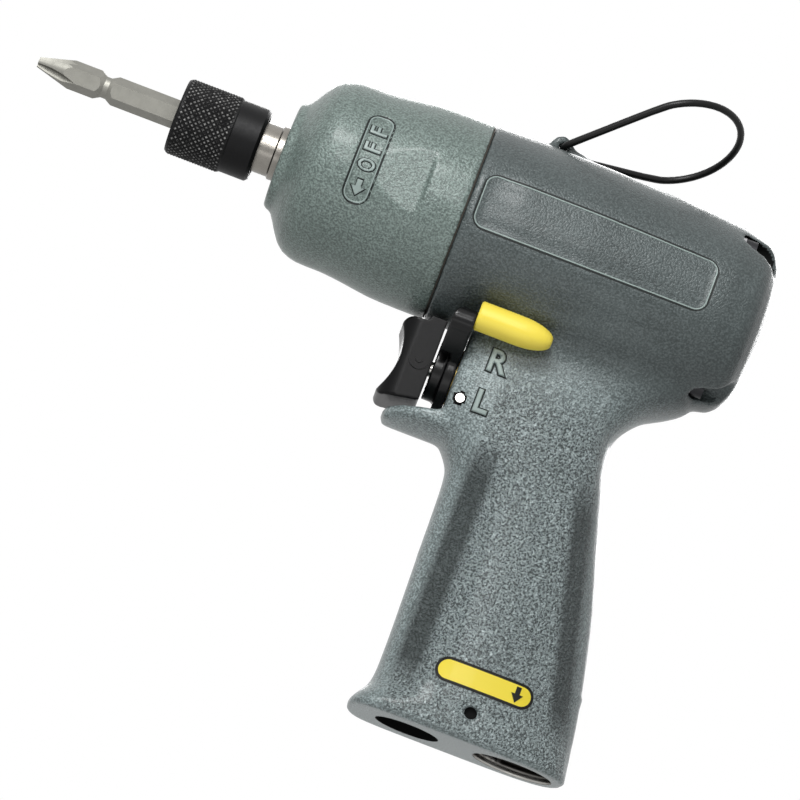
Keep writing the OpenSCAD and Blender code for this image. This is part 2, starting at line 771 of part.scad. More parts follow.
// The flare at the top of the grip stays close to the barrel that it runs into
function flare_room(drop) =
    let (reach = barrel_r + flare_reach)
    drop < reach ? max(grip_w * 0.516, sqrt(reach * reach - drop * drop)) : grip_w;
function grip_point(row, i, side) =
    let (s = [for (j = [0 : 1]) mixed(block_section_shares[i][j], fluted_section_shares[i][j], row[4])])
    [grip_front + grip_depth * mixed(row[1], row[2], s[0]),
        side * min(grip_w / 2 * row[3], flare_room(grip_drop * row[0])) * s[1],
        -grip_drop * row[0]];
function grip_ring(row) = concat(
    [for (i = [0 : section_count - 1]) grip_point(row, i, -1)],
    [for (i = [section_count - 2 : -1 : 1]) grip_point(row, i, 1)]
);

module grip() {
    rows = (len(grip_shares) - 1) * ring_steps;
    n = 2 * section_count - 2;
    rings = [for (r = [0 : rows]) grip_ring(grip_row(r / ring_steps))];
    top = (rows + 1) * n;
    caps = [for (r = [0, rows]) (rings[r][0] + rings[r][section_count - 1]) / 2];
    walls = [for (r = [0 : rows - 1], i = [0 : n - 1])
        let (j = (i + 1) % n, p = r * n + i, q = r * n + j)
        each [[p, q, p + n], [q, q + n, p + n]]];
    ends = [for (i = [0 : n - 1])
        let (j = (i + 1) % n)
        each [[top, j, i], [top + 1, rows * n + i, rows * n + j]]];
    polyhedron(concat([for (r = rings) each r], caps), concat(walls, ends));
}

// Finger guard: a blunt round tip that widens into the grip, and a rounded underside
module finger_guard() {
    root_drop = 9;
    tip_x = guard_front + guard_t / 2;
    tip_z = guard_top - guard_t / 2;
    intersection() {
        rotate([90, 0, 0]) linear_extrude(height = guard_w, center = true) union() {
            translate([tip_x, tip_z]) circle(d = guard_t);
            polygon([
                [tip_x, guard_top], [block_front, guard_top + guard_rise],
                [guard_root, guard_top + guard_rise], [guard_root, guard_top - root_drop],
                [guard_root - 2 * guard_t, guard_top - root_drop], [tip_x, guard_top - guard_t]
            ]);
        }
        translate([0, 0, guard_top - root_drop - over])
            linear_extrude(height = root_drop + guard_rise + 2 * over) union() {
                translate([guard_front + guard_w / 2 - edge_break, 0]) circle(d = guard_w);
                translate([guard_front + guard_w / 2, -guard_w / 2])
                    square([guard_root - guard_front, guard_w]);
            }
        translate([0, 0, guard_top - guard_t - seat_gap + guard_under_r])
            rod(guard_under_r, guard_front - over, guard_root + over);
    }
}

// Cast lug for the bail, with a tail that runs down to the barrel
module hanger_lug() {
    tail = 10;
    rotate([90, 0, 0]) linear_extrude(height = lug_w, center = true) union() {
        translate([lug_x - edge_break, lug_z]) circle(r = lug_r);
        translate([lug_x - edge_break - lug_r, lug_z - lug_r]) square([2 * lug_r, lug_r]);
        polygon([
            [lug_x, lug_z + lug_r * 0.8], [lug_x + lug_r, lug_z + lug_r * 0.2],
            [lug_x + tail, lug_z - lug_r * 0.3], [lug_x + tail, lug_z - lug_r], [lug_x, lug_z - lug_r]
        ]);
    }
}

module barrel() {
    turned(concat(
        [[barrel_front, 0]],
        [for (s = barrel_outline_shares) [barrel_front + barrel_l * s[0], barrel_r * s[1]]],
        [[barrel_back, 0]]
    ));
}

// Recess of the bare name panel, which follows the barrel
module name_panel_cut() {
    difference() {
        on_side(panel_angle) translate([barrel_front + panel_front + panel_l / 2, 0, 0])
            linear_extrude(height = 2 * barrel_r) union() {
                square([panel_l - 2 * panel_corner_r, panel_w], center = true);
                square([panel_l, panel_w - 2 * panel_corner_r], center = true);
                for (i = [-1, 1], j = [-1, 1])
                    translate([i * (panel_l / 2 - panel_corner_r), j * (panel_w / 2 - panel_corner_r)])
                        circle(r = panel_corner_r);
            }
        turned(concat(
            [[barrel_front - over, 0]],
            [for (s = barrel_outline_shares)
                [barrel_front + barrel_l * s[0], barrel_r * s[1] - recess_d]],
            [[barrel_back, 0]]
        ));
    }
}

// A straight passage between two points
module passage(r, from, to) {
    v = to - from;
    length = norm(v);
    translate(from) rotate([0, acos(v[2] / length), atan2(v[1], v[0])]) cylinder(r = r, h = length);
}

module motor_housing() {
    port_r = 3;
    port_x = valve_front + valve_l / 2;
    color([0.32, 0.37, 0.36]) difference() {
        union() {
            barrel();
            difference() {
                grip();
                translate([guard_front - grip_depth, -grip_w, guard_top + guard_rise])
                    cube([block_front - guard_front + grip_depth, 2 * grip_w, -guard_top]);
            }
            finger_guard();
            hanger_lug();
        }
        rod(motor_bore_r, barrel_front - over, motor_back + seat_gap);
        rod(tail_pocket_r, motor_back, motor_back + tail_pocket_l);
        name_panel_cut();
        at_screws() rod(screw_r + slip_gap, barrel_front - over, barrel_back);
        at_screws() rod(screw_recess_r, screw_recess, barrel_back + over);
        cross_rod(lug_hole_r, lug_w + 2 * over, lug_x, lug_z);
        translate([0, 0, valve_z]) rod(valve_bore_r, valve_front - over, guide_front + guide_l);
        translate([0, 0, valve_z]) rod(valve_chamber_r, guide_front, chamber_back);
        translate([0, lever_ball_y, valve_z])
            rod(lever_ball_r + running_gap, block_front - over, block_front + lever_spring_l);
        cross_rod(cross_pin_r, 2 * grip_w, cross_pin_x, cross_pin_z);
        passage(port_r, [port_x, 0, valve_z], [port_x, 0, -motor_bore_r + over]);
        passage(passage_r, [inlet_x, 0, inlet_top - over], [chamber_back - passage_r, 0, valve_z]);
        translate([inlet_x, 0, foot_z - over]) cylinder(r = inlet_recess_r, h = inlet_recess_d + over);
        translate([inlet_x, 0, foot_z]) cylinder(r = bushing_r, h = inlet_recess_d + bushing_l);
        translate([exhaust_x, 0, foot_z - over]) cylinder(r = exhaust_r, h = exhaust_l + over);
        translate([exhaust_x, 0, muffler_foot - over]) cylinder(r = muffler_r, h = muffler_l + over);
        passage(exhaust_duct_r, [exhaust_x - 1, 0, muffler_foot + muffler_l - over],
            [exhaust_x - 1, 0, valve_z - valve_r - 2 * exhaust_duct_r]);
        cross_rod(foot_pin_r, 2 * grip_w, foot_pin_x, foot_pin_z);
    }
}

// Socket head screws that clamp the housing, the motor and the case together
module case_screws() {
    seat = screw_recess + washer_t;
    color([0.16, 0.16, 0.17]) at_screws() difference() {
        union() {
            rod(screw_r, screw_tip, seat + over);
            rod(screw_head_r, seat, seat + screw_head_h);
        }
        translate([seat + screw_head_h / 2, 0, 0]) rotate([0, 90, 0])
            cylinder(r = screw_r, h = screw_head_h, $fn = 6);
    }
}

module screw_washers() {
    color("silver") at_screws() ring(screw_head_r + slip_gap, screw_r, screw_recess,
        screw_recess + washer_t);
}

// End plates hold the bearings and close the cylinder
module end_plate(from, pocket_first) {
    pocket = pocket_first ? from : from + plate_l - bearing_w;
    difference() {
        rod(cylinder_r, from, from + plate_l);
        rod(bearing_r, pocket_first ? pocket - over : pocket,
            pocket_first ? pocket + bearing_w : pocket + bearing_w + over);
        rod(shaft_r + body_gap, from - over, from + plate_l + over);
        translate([0, 0, dowel_z]) rod(dowel_r, from - over, from + plate_l + over);
    }
}

module front_end_plate() {
    color([0.60, 0.60, 0.62]) end_plate(barrel_front, true);
}

module rear_end_plate() {
    color([0.60, 0.60, 0.62]) end_plate(cylinder_back, false);
}

module race_groove(x) {
    o_ring(bearing_pitch_r, bearing_ball_r + running_gap, x);
}

module bearing_outer(from) {
    difference() {
        ring(bearing_r, bearing_r - bearing_race, from, from + bearing_w);
        race_groove(from + bearing_w / 2);
    }
}

module bearing_inner(from) {
    difference() {
        ring(bearing_bore_r + bearing_race, bearing_bore_r, from, from + bearing_w);
        race_groove(from + bearing_w / 2);
    }
}

module ball_set(from) {
    for (k = [1 : bearing_balls]) rotate([360 * k / bearing_balls, 0, 0])
        translate([from + bearing_w / 2, 0, bearing_pitch_r]) sphere(r = bearing_ball_r, $fn = 32);
}

module front_bearing_outer() {
    color("silver") bearing_outer(barrel_front);
}

module front_bearing_inner() {
    color("silver") bearing_inner(barrel_front);
}

module front_bearing_balls() {
    color("gainsboro") ball_set(barrel_front);
}

module rear_bearing_outer() {
    color("silver") bearing_outer(rear_bearing_front);
}

module rear_bearing_inner() {
    color("silver") bearing_inner(rear_bearing_front);
}

module rear_bearing_balls() {
    color("gainsboro") ball_set(rear_bearing_front);
}

// Cylinder: its bore is set off the spindle, so the rotor nearly touches it on one side
module motor_cylinder() {
    port_w = 3;
    color([0.55, 0.55, 0.58]) difference() {
        rod(cylinder_r, cylinder_front, cylinder_back);
        translate([0, 0, -eccentric]) rod(cylinder_bore_r, cylinder_front - over, cylinder_back + over);
        translate([0, 0, dowel_z]) rod(dowel_r, cylinder_front - over, cylinder_back + over);
        for (k = [1 : 4]) translate([cylinder_front + cylinder_l * k / 5, 0, 0]) rotate([0, 180, 0])
            cylinder(r = port_w / 2, h = cylinder_r + over);
    }
}

module cylinder_pin() {
    color("gainsboro") translate([0, 0, dowel_z])
        rod(dowel_r, barrel_front + plate_l / 2, motor_back - plate_l / 2);
}

module rotor() {
    end_gap = slip_gap;
    color([0.60, 0.60, 0.63]) difference() {
        union() {
            rod(rotor_r, cylinder_front + end_gap, cylinder_back - end_gap);
            rod(shaft_r, barrel_front, shaft_tail);
            spline(spline_r, spline_tooth, hub_back - hub_l + over, barrel_front + over);
        }
        for (k = [1 : vanes]) rotate([360 * k / vanes, 0, 0])
            translate([cylinder_front, -vane_t / 2 - running_gap, rotor_r - vane_d - body_gap])
                cube([cylinder_l, vane_t + 2 * running_gap, vane_d + over]);
    }
}

module rotor_vanes() {
    color([0.45, 0.30, 0.18]) for (k = [1 : vanes]) rotate([360 * k / vanes, 0, 0])
        translate([cylinder_front + seat_gap, -vane_t / 2, rotor_r - vane_d - slip_gap])
            cube([cylinder_l - 2 * seat_gap, vane_t, vane_d]);
}

// Bail: short pins in the lug, straight legs that spread to the round end, one unbroken wire
function twisted(p) = [p[0], p[1] * cos(bail_twist), -p[1] * sin(bail_twist)];
function bail_leg(side) =
    let (corner = [0, side * bail_pin_y, 0], pin = [0, side, 0],
        foot = twisted([bail_reach - bail_end_r * sin(bail_spread), side * bail_end_r * cos(bail_spread)]),
        along = (foot - corner) / norm(foot - corner))
    concat([corner - pin * (bail_pin_y - bail_wire_r)], [for (k = [0 : 4]) let (t = k / 4)
        (1 - t) * (1 - t) * (corner - pin * bail_bend) + 2 * t * (1 - t) * corner
        + t * t * (corner + along * bail_bend)]);
bail_path = concat(
    bail_leg(-1),
    [for (k = [0 : bail_arc_steps]) let (a = (90 + bail_spread) * (2 * k / bail_arc_steps - 1))
        twisted([bail_reach + bail_end_r * cos(a), bail_end_r * sin(a)])],
    let (leg = bail_leg(1)) [for (k = [len(leg) - 1 : -1 : 0]) leg[k]]
);

// A round wire along a path that keeps near one plane
module wire(path, r, sides, plane_normal) {
    last = len(path) - 1;
    points = [for (i = [0 : last])
        let (step = path[min(i + 1, last)] - path[max(i - 1, 0)], along = step / norm(step),
            across = cross(along, plane_normal), u = across / norm(across), v = cross(u, along))
        for (j = [0 : sides - 1]) path[i] + r * (cos(360 * j / sides) * u + sin(360 * j / sides) * v)];
    walls = [for (i = [0 : last - 1], j = [0 : sides - 1])
        let (k = (j + 1) % sides, p = i * sides + j, q = i * sides + k)
        each [[p, q, p + sides], [q, q + sides, p + sides]]];
    ends = [for (j = [1 : sides - 2])
        each [[0, j + 1, j], [last * sides, last * sides + j, last * sides + j + 1]]];
    polyhedron(points, concat(walls, ends));
}

module hanger_bail() {
    color([0.08, 0.08, 0.08]) translate([lug_x, 0, lug_z]) rotate([0, -bail_tilt, 0])
        wire(bail_path, bail_wire_r, bail_sides, [0, sin(bail_twist), cos(bail_twist)]);
}

// Trigger: a concave finger face between a rounded top and a lip at the foot,
// with a raised step behind it and an open back that lets the lever's core in
module trigger() {
    finger_r = 17;
    hollow_d = 2.6;
    lip_r = 1.6;
    nose_r = 2.6;
    step_h = 1.4;
    step_l = 4;
    corner_r = 4.8;
    wall = 1.1;
    stem_boss_r = 4;
    pocket_r = lever_core_r + 2 * body_gap;
    pocket_front = lever_front - trigger_travel - body_gap;
    brow = trigger_top - step_h;
    mid_z = trigger_foot + trigger_h * 0.46;
    color([0.09, 0.09, 0.10]) difference() {
        intersection() {
            rotate([90, 0, 0]) linear_extrude(height = trigger_w, center = true) difference() {
                union() {
                    translate([trigger_front + lip_r, trigger_foot + lip_r]) circle(r = lip_r);
                    translate([trigger_front + nose_r + edge_break, brow - nose_r]) circle(r = nose_r);
                    polygon([
                        [trigger_front, trigger_foot + lip_r], [trigger_front + lip_r, trigger_foot],
                        [trigger_back, trigger_foot + lip_r], [trigger_back, trigger_top],
                        [trigger_back - step_l, trigger_top],
                        [trigger_back - step_l - step_h / 2, brow],
                        [trigger_front + nose_r + edge_break, brow],
                        [trigger_front + edge_break, brow - nose_r]
                    ]);
                }
                translate([trigger_front - finger_r + hollow_d, mid_z]) circle(r = finger_r);
            }
            // Rounds the front corners seen from above
            translate([trigger_front, 0, trigger_foot - over])
                linear_extrude(height = trigger_h + 2 * over) union() {
                    for (side = [-1, 1]) translate([corner_r, side * (trigger_w / 2 - corner_r)])
                        circle(r = corner_r);
                    translate([0, -trigger_w / 2 + corner_r])
                        square([trigger_l, trigger_w - 2 * corner_r]);
                    translate([corner_r, -trigger_w / 2]) square([trigger_l, trigger_w]);
                }
        }
        difference() {
            translate([pocket_front, -trigger_w / 2 + wall, valve_z - pocket_r])
                cube([trigger_back - pocket_front + over, trigger_w - 2 * wall, 2 * pocket_r]);
            translate([0, 0, valve_z]) rod(stem_boss_r, trigger_front, pocket_front + seat_gap);
        }
        translate([0, 0, valve_z]) rod(stem_r, pocket_front - stem_boss_r, trigger_back + over);
    }
}

module trigger_stem() {
    stem_hold = 4;
    color("silver") translate([0, 0, valve_z])
        rod(stem_r, lever_front - trigger_travel - body_gap - stem_hold, poppet_front);
}

module stem_guide() {
    air_r = 0.9;
    color([0.72, 0.53, 0.27]) translate([0, 0, valve_z]) difference() {
        rod(valve_bore_r, guide_front, guide_front + guide_l);
        rod(stem_r + running_gap, guide_front - over, guide_front + guide_l + over);
        for (k = [1 : 6]) rotate([60 * k, 0, 0]) translate([0, 0, stem_r + 1.4])
            rod(air_r, guide_front - over, guide_front + guide_l + over);
    }
}

module throttle_poppet() {
    color("silver") translate([0, 0, valve_z]) rod(poppet_r, poppet_front, poppet_front + poppet_t);
}

module poppet_seal() {
    color([0.12, 0.12, 0.12]) translate([0, 0, valve_z])
        ring(poppet_r, stem_r, poppet_front - seal_t + running_gap, poppet_front);
}

module throttle_spring() {
    color("silver") translate([0, 0, valve_z])
        coil(throttle_coil_r, throttle_wire_r, poppet_front + poppet_t, chamber_back, 5);
}

// Reversing valve: a hollow plug with one port, turned by the lever
module reverse_valve() {
    port_r = 2.6;
    front_wall = 5;
    pin_groove_r = valve_r + seat_gap - cross_pin_r - slip_gap;
    color([0.72, 0.62, 0.42]) translate([0, 0, valve_z]) difference() {
        rod(valve_r, lever_back, valve_back);
        rod(valve_r - valve_wall, valve_front + front_wall, valve_back + over);
        rod(stem_r + slip_gap, lever_back - over, valve_back);
        ring(valve_r + over, pin_groove_r, cross_pin_x - groove_w / 2, cross_pin_x + groove_w / 2);
        ring(valve_r + over, valve_r - 2 * o_ring_wire_r, valve_ring_x - o_ring_wire_r - running_gap,
            valve_ring_x + o_ring_wire_r + running_gap);
        translate([valve_front + valve_l / 2, 0, 0]) cylinder(r = port_r, h = valve_r + over);
    }
}

module valve_o_ring() {
    color([0.10, 0.10, 0.10]) translate([0, 0, valve_z])
        o_ring(valve_r + running_gap / 2 - o_ring_wire_r, o_ring_wire_r, valve_ring_x);
}

// Lever: hub around the stem, arm out to the knob, front corner rounded
module lever_outline() {
    flank_share = 0.98;
    reach = norm([arm_tip_y, arm_tip_z]);
    root = arm_root_r * flank_share;
    tip = arm_tip_r * flank_share;
    circle(r = arm_root_r);
    rotate(atan2(arm_tip_z, arm_tip_y)) polygon([[0, root], [reach, tip], [reach, -tip], [0, -root]]);
    translate([arm_tip_y, arm_tip_z]) circle(r = arm_tip_r);
}

module reverse_lever() {
    corner_r = 3.6;
    corner_z = valve_z + arm_tip_z + arm_tip_r + body_gap - corner_r;
    dimple_d = 0.5;
    color([0.08, 0.08, 0.09]) difference() {
        union() {
            translate([0, 0, valve_z]) rod(lever_hub_r, lever_web, lever_back);
            translate([0, 0, valve_z]) rod(lever_core_r, lever_front, lever_back);
            difference() {
                translate([lever_front, 0, valve_z]) rotate([90, 0, 90])
                    linear_extrude(height = lever_arm_t) lever_outline();
                // Room for the pressed trigger at both ends of the lever's turn
                for (turn = [0, -lever_turn]) translate([0, 0, valve_z]) rotate([turn, 0, 0])
                    translate([lever_front - over, -trigger_w / 2 - body_gap, -trigger_h])
                        cube([lever_web - lever_front + over, trigger_w + 2 * body_gap, 2 * trigger_h]);
                // Rounds the top front corner of the arm
                difference() {
                    translate([lever_front - over, -2 * knob_side, corner_z])
                        cube([corner_r + over, 2 * knob_side, corner_r + over]);
                    translate([lever_front + corner_r, 0, corner_z]) rotate([90, 0, 0])
                        cylinder(r = corner_r, h = 3 * knob_side);
                }
            }
        }
        translate([0, 0, valve_z]) rod(stem_r + body_gap, lever_front - over, lever_back + over);
        for (turn = [0, -lever_turn]) translate([0, 0, valve_z]) rotate([turn, 0, 0])
            translate([0, lever_ball_y, 0]) rod(lever_ball_r, lever_back - dimple_d, lever_back + over);
    }
}

// Knob: a straight round front and a bullet-shaped tail
module lever_knob() {
    straight = knob_l * 0.56;
    tip = 0.2;
    nose = knob_l - straight;
    color([0.96, 0.80, 0.16]) translate([lever_back, -knob_side, valve_z + knob_rise]) turned(concat(
        [[0, 0], [0, knob_r - edge_break], [edge_break, knob_r]],
        [for (k = [0 : 9]) [straight + nose * sin(9 * k), knob_r * (tip + (1 - tip) * cos(9 * k))]],
        [[knob_l, 0]]
    ));
}

module lever_ball() {
    color("gainsboro") translate([block_front + lever_ball_r - slip_gap, lever_ball_y, valve_z])
        sphere(r = lever_ball_r);
}

module lever_spring() {
    wire = 0.25;
    color("silver") translate([0, lever_ball_y, valve_z])
        coil(lever_ball_r - wire - slip_gap, wire, block_front + 2 * lever_ball_r - slip_gap,
            block_front + lever_spring_l, 4);
}

module valve_cross_pin() {
    color("gainsboro") cross_rod(cross_pin_r, grip_w - 2 * edge_break, cross_pin_x, cross_pin_z);
}

module inlet_bushing() {
    lead_in = 1;
    color([0.80, 0.78, 0.72]) translate([inlet_x, 0, foot_z + inlet_recess_d]) difference() {
        cylinder(r = bushing_r, h = bushing_l);
        translate([0, 0, -over]) cylinder(r = thread_r, h = bushing_l + 2 * over);
        translate([0, 0, -lead_in]) cylinder(r1 = thread_r + 2 * lead_in, r2 = thread_r, h = 2 * lead_in);
        translate([0, 0, bushing_l - screen_seat_d]) cylinder(r = screen_seat_r, h = screen_seat_d + over);
    }
}

module inlet_screen() {
    rim = 1;
    sheet_t = 0.6;
    mesh_r = 0.45;
    mesh_pitch = 1.35;
    color([0.70, 0.66, 0.52]) translate([inlet_x, 0, inlet_top - screen_seat_d]) difference() {
        cylinder(r = screen_seat_r, h = sheet_t);
        for (i = [-3 : 3], j = [-3 : 3]) if (norm([i, j]) * mesh_pitch < thread_r - rim)
            translate([i * mesh_pitch, j * mesh_pitch, -over])
                cylinder(r = mesh_r, h = sheet_t + 2 * over, $fn = 16);
    }
}

module inlet_o_ring() {
    color([0.10, 0.10, 0.10]) translate([inlet_x, 0, foot_z + inlet_recess_d - o_ring_wire_r])
        rotate_extrude() translate([bushing_r - o_ring_wire_r, 0]) circle(r = o_ring_wire_r, $fn = 32);
}

module exhaust_muffler() {
    bore_r = 3;
    color([0.20, 0.20, 0.20]) translate([exhaust_x, 0, muffler_foot]) difference() {
        cylinder(r = muffler_r, h = muffler_l);
        translate([0, 0, -over]) cylinder(r = bore_r, h = muffler_l + 2 * over);
    }
}

module foot_pin() {
    color([0.05, 0.05, 0.05]) cross_rod(foot_pin_r, grip_w - 10 * edge_break, foot_pin_x, foot_pin_z);
}

screwdriver_bit();
chuck_sleeve();
sleeve_spring();
spring_washer();
sleeve_snap_ring();
sleeve_stop_ring();
detent_ball();
anvil();
anvil_bushing();
nose_seal();
hammer_case();
hammer_cage();
front_hammer();
rear_hammer();
hammer_pins();
case_gasket();
motor_housing();
case_screws();
screw_washers();
front_end_plate();
front_bearing_outer();
front_bearing_inner();
front_bearing_balls();
motor_cylinder();
cylinder_pin();
rotor();
rotor_vanes();
rear_end_plate();
rear_bearing_outer();
rear_bearing_inner();
rear_bearing_balls();
hanger_bail();
trigger();
trigger_stem();
stem_guide();
throttle_poppet();
poppet_seal();
throttle_spring();
reverse_valve();
valve_o_ring();
reverse_lever();
lever_knob();
lever_ball();
lever_spring();
valve_cross_pin();
inlet_bushing();
inlet_screen();
inlet_o_ring();
exhaust_muffler();
foot_pin();
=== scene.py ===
"""Looks of a pistol-grip pneumatic screwdriver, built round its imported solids.

Lengths in the tables are millimetres in the part's own frame: the spindle runs along X,
the work is toward -X, the grip hangs toward -Z and the reversing knob is on the -Y side.
"""

import math

import bmesh
import bpy
from mathutils import Matrix, Vector
from mathutils.bvhtree import BVHTree


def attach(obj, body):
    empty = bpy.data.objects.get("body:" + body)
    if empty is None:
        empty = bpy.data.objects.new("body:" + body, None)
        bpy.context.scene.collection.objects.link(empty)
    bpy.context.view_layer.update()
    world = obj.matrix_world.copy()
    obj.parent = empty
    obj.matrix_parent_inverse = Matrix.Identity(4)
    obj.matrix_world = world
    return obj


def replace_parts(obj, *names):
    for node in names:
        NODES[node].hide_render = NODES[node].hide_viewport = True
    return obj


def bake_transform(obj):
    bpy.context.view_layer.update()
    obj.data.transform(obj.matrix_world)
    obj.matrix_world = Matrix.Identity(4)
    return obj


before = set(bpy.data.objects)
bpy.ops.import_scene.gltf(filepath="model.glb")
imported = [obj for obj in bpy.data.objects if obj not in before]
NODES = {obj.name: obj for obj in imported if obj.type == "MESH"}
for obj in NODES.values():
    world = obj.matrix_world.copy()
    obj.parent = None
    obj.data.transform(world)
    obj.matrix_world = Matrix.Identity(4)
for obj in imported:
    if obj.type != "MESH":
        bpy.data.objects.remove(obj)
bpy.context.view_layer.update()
MM = 0.001


# Finishes: shader sums are written as Python sums

class Tone:
    """A shader socket that can stand in a sum; each sign adds one Math node."""

    def __init__(self, finish, socket):
        self.finish = finish
        self.socket = socket

    def sum_with(self, operation, first, second):
        return self.finish.node("Math", {"operation": operation}, {0: first, 1: second})

    def __add__(self, other):
        return self.sum_with("ADD", self, other)

    def __radd__(self, other):
        return self.sum_with("ADD", other, self)

    def __sub__(self, other):
        return self.sum_with("SUBTRACT", self, other)

    def __rsub__(self, other):
        return self.sum_with("SUBTRACT", other, self)

    def __mul__(self, other):
        return self.sum_with("MULTIPLY", self, other)

    def __rmul__(self, other):
        return self.sum_with("MULTIPLY", other, self)

    def __truediv__(self, other):
        return self.sum_with("DIVIDE", self, other)

    def clipped(self):
        return self.finish.node("Clamp", {}, {"Value": self})

    def beyond(self, start, length):
        """0 up to the start, then rising to 1 over a length."""
        return ((self - start) / length).clipped()

    def below(self, start, length):
        """0 down to the start, then rising to 1 over a length."""
        return ((start - self) / length).clipped()

    def band(self, middle, half_width):
        """1 along the middle of a band, falling to 0 at its two sides."""
        return ((1 - (self - middle).size() / half_width) * 1.8).clipped()

    def size(self):
        return self.finish.node("Math", {"operation": "ABSOLUTE"}, {0: self})


class Finish:
    """One material, or one world, made of nodes."""

    def __init__(self, name, library=bpy.data.materials):
        self.holder = library.new(name)
        self.holder.use_nodes = True
        self.tree = self.holder.node_tree
        self.tree.nodes.clear()

    def node(self, kind, settings, sockets, take=0):
        made = self.tree.nodes.new("ShaderNode" + kind)
        for key, value in settings.items():
            if key == "stops":
                ramp = made.color_ramp
                while len(ramp.elements) < len(value):
                    ramp.elements.new(1)
                for element, (position, shade) in zip(ramp.elements, value):
                    element.position = position
                    element.color = (*shade, 1)
            else:
                setattr(made, key, value)
        for key, value in sockets.items():
            if isinstance(value, Tone):
                self.tree.links.new(value.socket, made.inputs[key])
            else:
                made.inputs[key].default_value = value
        return Tone(self, made.outputs[take])

    def place(self, stretch=(1, 1, 1)):
        """The place on the piece in millimetres, stretched along each axis."""
        spot = self.node("TexCoord", {}, {}, "Object")
        return self.node("Mapping", {}, {"Vector": spot, "Scale": [s / MM for s in stretch]})

    def axes(self, place):
        return [self.node("SeparateXYZ", {}, {"Vector": place}, i) for i in range(3)]

    def noise(self, place, scale, detail=2, roughness=0.5, distortion=0.0):
        return self.node("TexNoise", {}, {
            "Vector": place, "Scale": scale, "Detail": detail, "Roughness": roughness,
            "Distortion": distortion})

    def pits(self, place, scale, smoothness=0.6):
        return self.node("TexVoronoi", {"feature": "SMOOTH_F1"}, {
            "Vector": place, "Scale": scale, "Smoothness": smoothness})

    def ramp(self, tone, *stops):
        return self.node("ValToRGB", {"stops": stops}, {"Fac": tone})

    def mixed(self, share, first, second):
        """A colour between two colours, by a share."""
        return self.node("Mix", {"data_type": "RGBA"}, {
            0: share, 6: opaque(first), 7: opaque(second)}, 2)

    def relief(self, height, strength, depth):
        return self.node("Bump", {}, {
            "Height": height, "Strength": strength, "Distance": depth * MM})

    def seen(self):
        """1 for the rays that show a thing, 0 for those that carry its light to others."""
        camera, glossy, through = (self.node("LightPath", {}, {}, f"Is {kind} Ray")
                                   for kind in ("Camera", "Glossy", "Transmission"))
        return (camera + glossy + through).clipped()

    def principled(self, **sockets):
        named = {key.replace("_", " "): value for key, value in sockets.items()}
        return self.node("BsdfPrincipled", {}, {
            key: opaque(value) if key == "Base Color" else value for key, value in named.items()})

    def show(self, shader, output="OutputMaterial"):
        """Ends the nodes in a shader and gives the finished material or world."""
        end = self.tree.nodes.new("ShaderNode" + output)
        self.tree.links.new(shader.socket, end.inputs["Surface"])
        return self.holder

    def surface(self, **sockets):
        return self.show(self.principled(**sockets))


def opaque(colour):
    """A colour as a socket takes it."""
    return colour if isinstance(colour, Tone) else (*colour, 1)


def screen(red, green, blue):
    """A colour as it reads on a screen, from 0 to 255, made linear."""
    return tuple(((c / 255 + 0.055) / 1.055) ** 2.4 if c > 10 else c / 255 / 12.92
                 for c in (red, green, blue))


# The grip as the paint sees it: its front edge, and its rear edge, which leans with height
GRIP_FRONT_X = 92.6
GRIP_REAR_X, GRIP_REAR_Z, GRIP_REAR_LEAN = 131.6, -59.8, 0.24
# The barrel's lowest level, above which the barrel is darkened by painted shade, and the level where
# the grip's coarse casting starts
BARREL_FOOT_Z, COARSE_Z, FOOT_FACE_Z = -33, -26, -121.4


def stove_paint(name, light, middle, dark, hammered):
    """Grey-green metallic paint, speckled by the casting under it.

    The hammered kind has the grip's coarse pits, with painted shade in their hollows and painted
    highlights on their crests; a grip painted lighter, as where it faces the light; painted shade
    along its two flutes; and a barrel darkened by painted shade.
    """
    f = Finish(name)
    place = f.place()
    along, _, height = f.axes(place)
    fine = f.noise(place, 2.0, 1, 0.5)
    cloud = f.noise(place, 0.07, 2)
    grain = ((fine - 0.3) * 2.5).clipped()
    tint = f.mixed(0.5, middle, f.ramp(grain, (0.15, dark), (0.5, middle), (0.9, light)))
    height_map = grain * 0.22
    if hammered:
        behind = along - GRIP_FRONT_X
        before = GRIP_REAR_X - GRIP_REAR_LEAN * (height - GRIP_REAR_Z) - along
        on_grip = height.below(COARSE_Z, 16) * behind.beyond(3.2, 1.6)
        on_grip = on_grip * height.beyond(FOOT_FACE_Z, 2 / 3) * before.beyond(1.6, 1.4)
        pits = ((f.noise(place, 1.9, 1, 0.5, 0.5) - 0.32) * 2.8).clipped()
        # Painted light: the grip is made lighter, as where its side faces the lamps
        tint = f.mixed(on_grip * 0.4, tint, light)
        # Painted shade in the hollows of the pits and painted highlights on their crests, beside
        # their bump
        tint = f.mixed(on_grip * ((0.4 - pits) * 4).clipped() * 0.85, tint, dark)
        tint = f.mixed(on_grip * ((pits - 0.6) * 5).clipped() * 0.8, tint, light)
        height_map = height_map * (1 - on_grip) + on_grip * pits * 1.8
        # Painted shade along the grip's two concave flutes
        flute_shade = behind.band(6.7, 4.4) + before.band(5.2, 3.8)
        flute_shade = flute_shade * height.below(-50, 10) * height.beyond(-115, 8)
        tint = f.mixed(flute_shade * 0.82, tint, dark)
        # Painted shade over the whole barrel, as on its side that faces down away from the light
        tint = f.mixed(height.beyond(BARREL_FOOT_Z, 9) * 0.76, tint, dark)
    tint = f.mixed((cloud * 0.4).clipped(), tint, tuple(c * 0.75 for c in middle))
    return f.surface(
        Base_Color=tint,
        Metallic=0.1,
        Specular_IOR_Level=0.3,
        Roughness=0.28 + 0.16 * grain,
        Coat_Weight=0.2,
        Coat_Roughness=0.2,
        Normal=f.relief(height_map, 1.0, 0.4))


